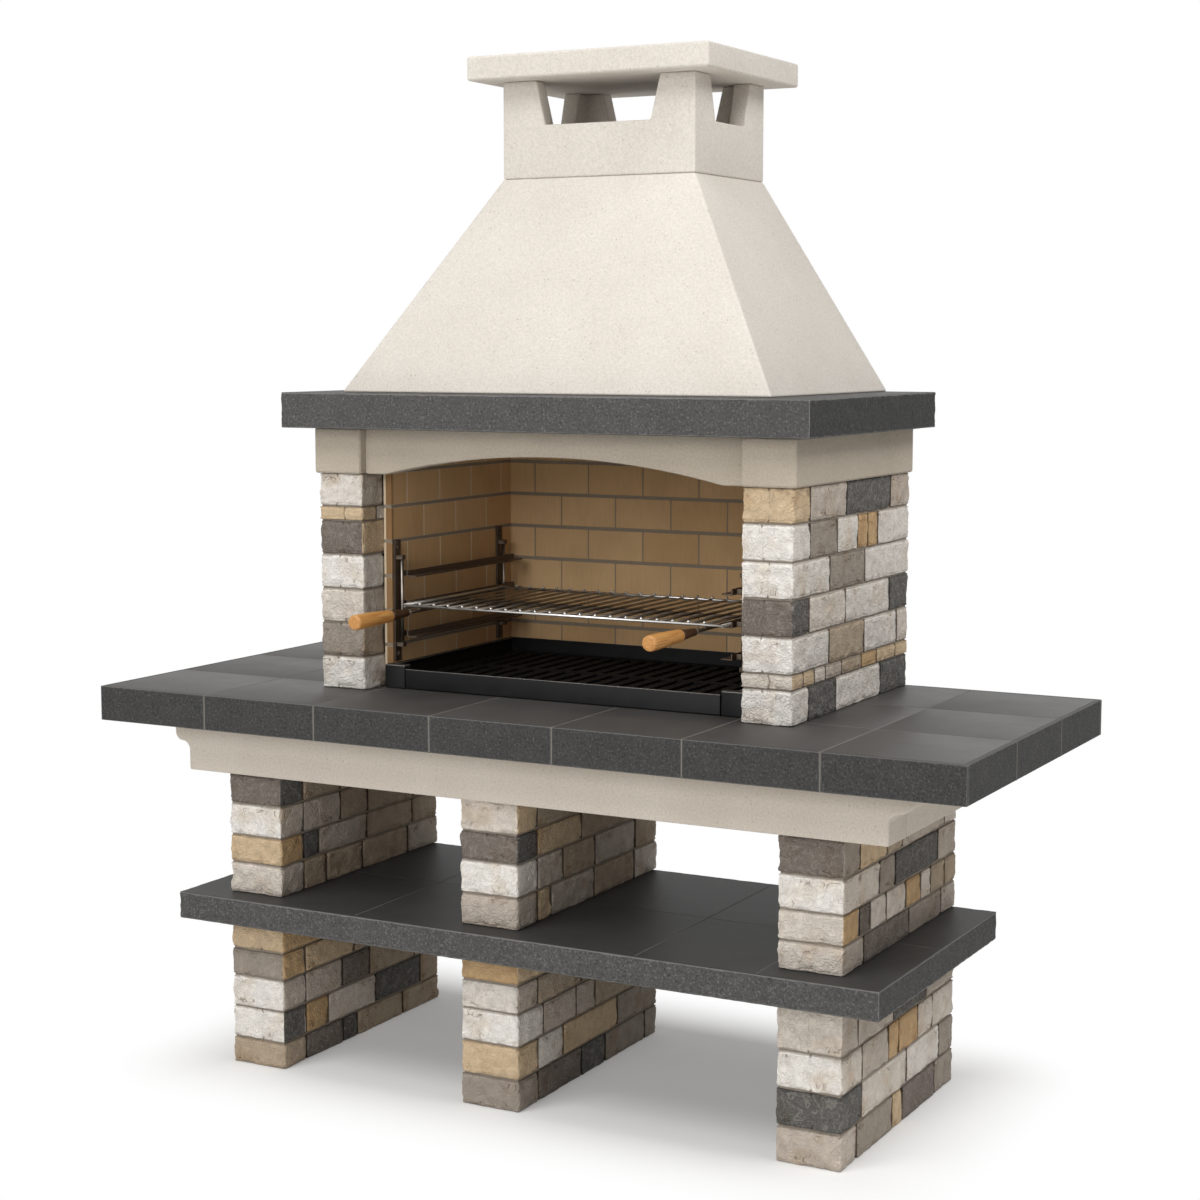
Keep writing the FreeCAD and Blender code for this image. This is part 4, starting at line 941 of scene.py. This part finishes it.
# the mantel's short ends get a deeper painted shade
mantel = rough_slab("mantel_slab", "#c4c4c4")
mantel_low, mantel_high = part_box("mantel_slab")
throat = [vertex.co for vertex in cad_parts["mantel_slab"].data.vertices
          if all(mantel_low[axis] + RIM < vertex.co[axis] < mantel_high[axis] - RIM for axis in (0, 1))]
throat_low = [min(corner[axis] for corner in throat) for axis in (0, 1)]
throat_high = [max(corner[axis] for corner in throat) for axis in (0, 1)]
slab = bmesh.new()
slab.from_mesh(mantel.data)
for axis in (0, 1):
    for wall_place in (throat_low[axis], throat_high[axis]):
        flats = [face for face in slab.faces
                 if abs(face.normal.z) > SQUARE and face.calc_area() > FLAT_AREA]
        cut_flats(slab, flats, axis, wall_place)
holes = [face for face in slab.faces if abs(face.normal.z) > SQUARE
         and all(throat_low[axis] < face.calc_center_median()[axis] < throat_high[axis]
                 for axis in (0, 1))]
bmesh.ops.delete(slab, geom=holes, context="FACES")
bmesh.ops.bridge_loops(slab, edges=[edge for edge in slab.edges if edge.is_boundary])
bmesh.ops.recalc_face_normals(slab, faces=slab.faces)
slab.to_mesh(mantel.data)
slab.free()
stand_for(mantel, "masonry", "dark_slab", "mantel_slab")


# Smoke hood and chimney
# A hollow cast hood on the mantel, a crown with trapezoid smoke windows and a cap slab, all in the
# cream concrete, each standing on the one below.

# Cream concrete, paler than the beams, lightly knocked.
cream_concrete = cast_concrete("sanded_cream_concrete", "#d1cac0", "#ddd7ce", 0.5)
for name, node, arris in (("hood_cast", "smoke_hood", 0.006), ("crown_cast", "chimney_crown", 0.004),
                          ("cap_cast", "chimney_cap", 0.006)):
    soften(name, node, "masonry", "cream_concrete", cream_concrete, arris)


# Fire pan and ash drawer
# A pan of folded sheet steel between two corner posts, with a shallow ash drawer that pulls out under
# a cast grate. The sheet is coated in heat-proof satin black.

# Satin black coat, cloudy, with the orange peel of a sprayed coat.
black_coat = mottled("black_coated_steel", (0.05, 4.0), "#121212", "#1b1b1c", (0.36, 0.50),
                     (0.002, 2.0, 0.15, 0.0003), IOR=1.5, Specular_IOR_Level=0.3)
# A painted highlight: the upper folds get a paler grey shine for the light that they catch.
highlight_coat = new_material("black_coat_painted_highlight", Base_Color=linear("#858280"), Roughness=0.4,
                           Metallic=0.5)[0]
for name, node, body, fold in (("pan_folded", "fire_pan", "masonry", 0.0012),
                               ("left_post_folded", "left_pan_post", "masonry", 0.001),
                               ("right_post_folded", "right_pan_post", "masonry", 0.001),
                               ("drawer_tray_folded", "drawer_tray", "ash_drawer", 0.0008),
                               ("drawer_front_folded", "drawer_front", "ash_drawer", 0.0015)):
    soften(name, node, body, "black_steel", black_coat, fold, highlight_rim=highlight_coat)

# Cast iron, matt and rough from the sand mould.
cast_iron = mottled("cast_iron", (0.004, 4.0), "#0a0a0a", "#141313", bumps=(0.004, 4.0, 0.5, 0.0008),
                    Roughness=0.8, Specular_IOR_Level=0.15)
soften("grate_cast", "charcoal_grate", "fire_grate", "cast_iron", cast_iron, 0.0015, 2)


# Racks
# Flat steel uprights bolted to the side linings, with lugs that hold a bright guide rod, and three
# angle rails on each side for the grill to rest on.

# Steel as it comes dark from the rolling mill.
dark_steel = mottled("mill_dark_steel", (0.012, 4.0), "#4a3f36", "#6b5d50", (0.35, 0.6), Metallic=0.7)
for side in ("left", "right"):
    for end in ("front", "rear"):
        upright = f"{side}_{end}_upright"
        soften(f"{upright}_bar", upright, "masonry", "dark_steel", dark_steel, 0.0008, 2)
    soften(f"{side}_rails", f"{side}_rack_rails", "masonry", "dark_steel", dark_steel, 0.0008, 2)

# Chromed steel, a little hazed by heat.
chrome = mottled("chromed_steel", (0.015, 3.0), "#d6d4d0", "#eceae7", (0.30, 0.42), Metallic=1.0)
# Drawn steel of the guide rods and the grill's bars, greyer than the chrome from the heat.
drawn_steel = mottled("drawn_steel", (0.02, 3.0), "#8b847b", "#b0a89e", Metallic=1.0, Roughness=0.36)

# Round bars: a bar through each point, along the point's own run.
bars, add, given = new_tree("round bars", ("Radius", "Sides"))
run = add("InputNamedAttribute FLOAT_VECTOR", "run")
sides = add("FloatToInt", given["Sides"])
bar = add("MeshCylinder", Vertices=sides, Radius=given["Radius"], Depth=1.0).node.outputs
bar_smooth = add("SetShadeSmooth", bar["Mesh"], bar["Side"])
aim = add("AlignRotationToVector", axis="Z", Vector=run)
length = add("VectorMath LENGTH", run)
stretch = add("CombineXYZ", X=1.0, Y=1.0, Z=length)
placed = add("InstanceOnPoints", given["Geometry"], Instance=bar_smooth, Rotation=aim, Scale=stretch)
end_tree(add, placed, given["Material"])


def run_points(name, islands, runs):
    """A point in the middle of each island, with its run."""
    mesh = bpy.data.meshes.new(name)
    mesh.from_pydata([(low + high) / 2 for low, high in islands], [], [])
    mesh.attributes.new("run", "FLOAT_VECTOR", "POINT").data.foreach_set("vector", runs)
    return mesh


def lay_bars(name, islands, axis, radius, sides, material, body, node):
    """Round bars in a CAD node's place, each through the middle of an island, along an axis."""
    runs = []
    for low, high in islands:
        runs += [high[place] - low[place] if place == axis else 0.0 for place in range(3)]
    sizes = {"Radius": radius, "Sides": sides, "Material": material}
    stand_for(work(name, run_points(name, islands, runs), bars, sizes), body, "chromed_steel", node)


guides = islands_of("guide_rods")
guide_radius = (guides[0][1].x - guides[0][0].x) / 2
lay_bars("guide_bars", guides, 2, guide_radius, 20.0, drawn_steel, "masonry", "guide_rods")

# Bolts: a hexagon head with a raised washer, one at each end of an upright, turned to the middle.
bolted, add, given = new_tree("bolt heads", ("Head", "Height"))
side_turn = add("InputNamedAttribute FLOAT_VECTOR", "run")
head_radius, washer_radius, crown_radius = (
    add("Math MULTIPLY", given["Head"], share) for share in (0.5, 0.66, 0.42))
washer_height, head_height, washer_place, crown_place = (
    add("Math MULTIPLY", given["Height"], share) for share in (0.3, 0.85, -0.35, 0.2))
washer = add("MeshCylinder", Vertices=20, Radius=washer_radius, Depth=washer_height)
head = add("MeshCylinder", Vertices=6, Radius=head_radius, Depth=head_height)
crown = add("MeshCone", Vertices=20, Radius_Top=crown_radius, Radius_Bottom=head_radius,
            Depth=washer_height)
joined = add("JoinGeometry")
bolted.links.new(head, joined.node.inputs["Geometry"])
for part, place in ((washer, washer_place), (crown, crown_place)):
    shift = add("CombineXYZ", Z=place)
    seated = add("Transform", part, Translation=shift)
    bolted.links.new(seated, joined.node.inputs["Geometry"])
aim = add("AlignRotationToVector", axis="Z", Vector=side_turn)
placed = add("InstanceOnPoints", given["Geometry"], Instance=joined, Rotation=aim)
end_tree(add, placed, given["Material"])
bolt_islands = islands_of("rack_bolts")
inwards = []
for low, high in bolt_islands:
    inwards += [-math.copysign(1.0, low.x), 0.0, 0.0]
bolt_span = bolt_islands[0][1] - bolt_islands[0][0]
bolts = work("bolts", run_points("bolts", bolt_islands, inwards), bolted,
             {"Head": bolt_span.z, "Height": bolt_span.x, "Material": dark_steel})
stand_for(bolts, "masonry", "dark_steel", "rack_bolts")


# Cooking grill
# A chromed frame of round bar with drawn bars welded across it, and a cross bar under them that takes
# the handles.
END_BAR_RADIUS = 0.003
frame_low, frame_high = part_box("grill_frame")
side_radius = (frame_high.z - frame_low.z) / 2
frame_front, frame_back = frame_low.y + side_radius, frame_high.y - side_radius
frame_sides = [(Vector((x, frame_front, frame_low.z)), Vector((x, frame_back, frame_high.z)))
               for x in (frame_low.x + side_radius, frame_high.x - side_radius)]
lay_bars("frame_sides", frame_sides, 1, side_radius, 20.0, chrome, "cooking_grill", "grill_frame")
frame_ends = [(Vector((frame_low.x, y, frame_low.z)), Vector((frame_high.x, y, frame_high.z)))
              for y in (frame_front, frame_back)]
lay_bars("frame_ends", frame_ends, 0, END_BAR_RADIUS, 20.0, chrome, "cooking_grill", "grill_frame")
soften("crossbar_bar", "grill_crossbar", "cooking_grill", "dark_steel", dark_steel, 0.001, 2)
grill_rods = islands_of("grill_rods")
rod_radius = (grill_rods[0][1].z - grill_rods[0][0].z) / 2
lay_bars("grill_bars", grill_rods, 1, rod_radius, 16.0, drawn_steel, "cooking_grill", "grill_rods")

# Weld beads where the bars meet the frame, front and rear.
WELD = 0.0038
WELD_RISE = 0.0012
beads, add, given = new_tree("weld beads", ("Bead",))
drop = add("MeshIcoSphere", Radius=given["Bead"], Subdivisions=2)
flat_drop = add("Transform", drop, Scale=(1.0, 1.2, 0.85))
drop_smooth = add("SetShadeSmooth", flat_drop)
placed = add("InstanceOnPoints", given["Geometry"], Instance=drop_smooth)
end_tree(add, placed, given["Material"])
weld_places = [((low.x + high.x) / 2, end, frame_high.z + WELD_RISE)
               for low, high in grill_rods for end in (frame_front, frame_back)]
weld_mesh = bpy.data.meshes.new("weld_beads")
weld_mesh.from_pydata(weld_places, [], [])
welds = work("weld_beads", weld_mesh, beads, {"Bead": WELD, "Material": chrome})
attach(welds, "cooking_grill")


# Handles
# A dark steel rod from the cross bar carries a chromed ferrule, a neck of the same wood darkened as a
# painted shade, and a turned beech grip; the grip is oiled, and its grain runs along it.

# Flats round a turned piece.
TURN_SIDES = 40


def turn(name, node, near, far, material, slot):
    """A piece turned on the lathe in a CAD node's place. near and far are places from its two ends along
    Y, and the share of its radius there."""
    low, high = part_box(node)
    middle = (low + high) / 2
    full = (high.x - low.x) / 2
    profile = [(low.y + place, full * share) for place, share in near]
    profile += [(high.y - place, full * share) for place, share in far]
    turned = bmesh.new()
    corners = [turned.verts.new((middle.x + radius, y, middle.z)) for y, radius in profile]
    edges = [turned.edges.new(ends) for ends in zip(corners, corners[1:])]
    bmesh.ops.spin(turned, geom=corners + edges, cent=middle, axis=(0, 1, 0), angle=2 * math.pi,
                   steps=TURN_SIDES, use_merge=True)
    for face in turned.faces:
        face.smooth = True
    rims = [edge for edge in turned.edges if edge.is_boundary]
    for face in bmesh.ops.holes_fill(turned, edges=rims, sides=TURN_SIDES)["faces"]:
        face.smooth = False
    bmesh.ops.recalc_face_normals(turned, faces=turned.faces)
    stand_for(piece_of(name, turned, material), "cooking_grill", slot, node)


# Oiled beech, warm and satin, with small dark flecks.
beech, add, shader, place = new_material("oiled_beech", Roughness=0.45, IOR=1.5)
# growth rings about 4 mm apart, drawn out along the grip
stretch = add("Mapping", place, Scale=(240.0, 14.0, 240.0))
ring = add("TexNoise", stretch, Scale=1.0, Detail=3.0, Distortion=0.4)
ring_tone = add("MapRange", ring, 0.3, 0.7)
colour = add("Mix RGBA", ring_tone, linear("#ab6f36"), linear("#cd9a58"))
fleck = add("Mapping", place, Scale=(900.0, 90.0, 900.0))
fleck = add("TexNoise", fleck, Scale=1.0, Detail=1.0)
colour = stain(add, colour, fleck, 0.55, 0.75, 0.3, "#8f5c2b")
surface(add, shader, colour, ring, 0.12, 0.0004)

# The same wood, darkened: a painted shade for the neck, which lies back inside the firebox.
shaded_beech, add, shader, place = new_material("shade_darkened_beech", Roughness=0.4, IOR=1.5)
stretch = add("Mapping", place, Scale=(240.0, 14.0, 240.0))
ring = add("TexNoise", stretch, Scale=1.0, Detail=3.0)
colour = add("Mix RGBA", ring, linear("#2a1b11"), linear("#533620"))
surface(add, shader, colour)

TURNED = (
    ("ferrule_ring", "ferrule", chrome, "chromed_steel", ((0, 0.93), (0.001, 1)),
     ((0.003, 1), (0.001, 0.9), (0, 0.6))),
    # the neck, in the darkened wood as a painted shade
    ("neck", "handle_neck", shaded_beech, "stained_beech", ((0, 1), (0.012, 1), (0.030, 0.95)),
     ((0.014, 0.80), (0.002, 0.76), (0, 0.70))),
    ("turned_grip", "grip", beech, "beech",
     ((0, 0.55), (0.0006, 0.82), (0.002, 0.93), (0.0045, 0.98), (0.009, 1), (0.030, 1), (0.070, 0.95)),
     ((0.030, 0.85), (0.006, 0.82), (0.002, 0.79), (0, 0.70))))
for side in ("left", "right"):
    soften(f"{side}_shaft", f"{side}_handle_rod", "cooking_grill", "dark_steel", dark_steel, 0.0008, 2)
    for name, node, material, slot, near, far in TURNED:
        turn(f"{side}_{name}", f"{side}_{node}", near, far, material, slot)


# Studio
# A pale floor that fades into a white background, and soft light: large panels from the upper left in
# front, from the right and from the front, and an even sky. The camera stands where the photo's stood.

# Half the width of the floor.
FLOOR = 30.0
# Half the width and depth that the piers stand on; the floor fades out from there.
STAND = (0.76, 0.35, 0.0)
floor_mesh = bpy.data.meshes.new("floor")
floor_corners = [(-FLOOR, -FLOOR, 0), (FLOOR, -FLOOR, 0), (FLOOR, FLOOR, 0), (-FLOOR, FLOOR, 0)]
floor_mesh.from_pydata(floor_corners, [], [(0, 1, 2, 3)])
floor_paint = bpy.data.materials.new("pale_studio_floor")
add = bare(floor_paint)
place = add("TexCoord", out="Object")
mirrored = add("VectorMath ABSOLUTE", place)
beyond = add("VectorMath SUBTRACT", mirrored, STAND)
beyond = add("VectorMath MAXIMUM", beyond, (0.0, 0.0, 0.0))
away = add("VectorMath LENGTH", beyond)
fade = add("MapRange", away, -0.1, 0.30, interpolation_type="SMOOTHSTEP")
ray = add("LightPath").node.outputs
seen = add("Math MAXIMUM", ray["Is Camera Ray"], ray["Is Glossy Ray"])
fade = add("Math MULTIPLY", fade, seen)
paint = add("BsdfDiffuse", Color=linear("#f6f5f3"))
white = add("Emission", Color=(1, 1, 1, 1), Strength=1.0)
mixed = add("MixShader", fade, paint, white)
add("OutputMaterial", mixed)
floor_mesh.materials.append(floor_paint)
add_piece("floor", floor_mesh)

world = bpy.data.worlds.new("studio")
bpy.context.scene.world = world
add = bare(world)
ray = add("LightPath").node.outputs
seen = add("Math MAXIMUM", ray["Is Camera Ray"], ray["Is Glossy Ray"])
seen = add("Math MAXIMUM", seen, ray["Is Transmission Ray"])
sky = add("Background", Color=(1, 1, 1, 1), Strength=0.39)
backdrop = add("Background", Color=(1, 1, 1, 1), Strength=1.0)
both = add("MixShader", seen, sky, backdrop)
add("OutputWorld", both)


def add_panel(name, place, aim, size, power):
    """A square soft light that looks at a point."""
    light = bpy.data.lights.new(name, "AREA")
    light.size = size
    light.energy = power
    panel = bpy.data.objects.new(name, light)
    panel.location = place
    panel.rotation_euler = (Vector(aim) - Vector(place)).to_track_quat("-Z", "Y").to_euler()
    bpy.context.scene.collection.objects.link(panel)


add_panel("key_panel", (-1.6, -3.6, 5.6), (0, 0, 1.2), 2.4, 138)
add_panel("side_panel", (4.0, -0.5, 5.3), (0, 0, 1.2), 2.6, 143)
add_panel("front_panel", (0.4, -6.1, 3.2), (0, 0, 1.1), 2.4, 110)

camera = bpy.data.cameras.new("camera")
camera.sensor_width = 36
camera.lens = 68.1
view = bpy.data.objects.new("camera", camera)
view.location = (2.435, -4.481, 1.675)
view.rotation_euler = (math.radians(83.47), 0, math.radians(28.30))
bpy.context.scene.collection.objects.link(view)
bpy.context.scene.camera = view
bpy.context.scene.view_settings.view_transform = "Standard"
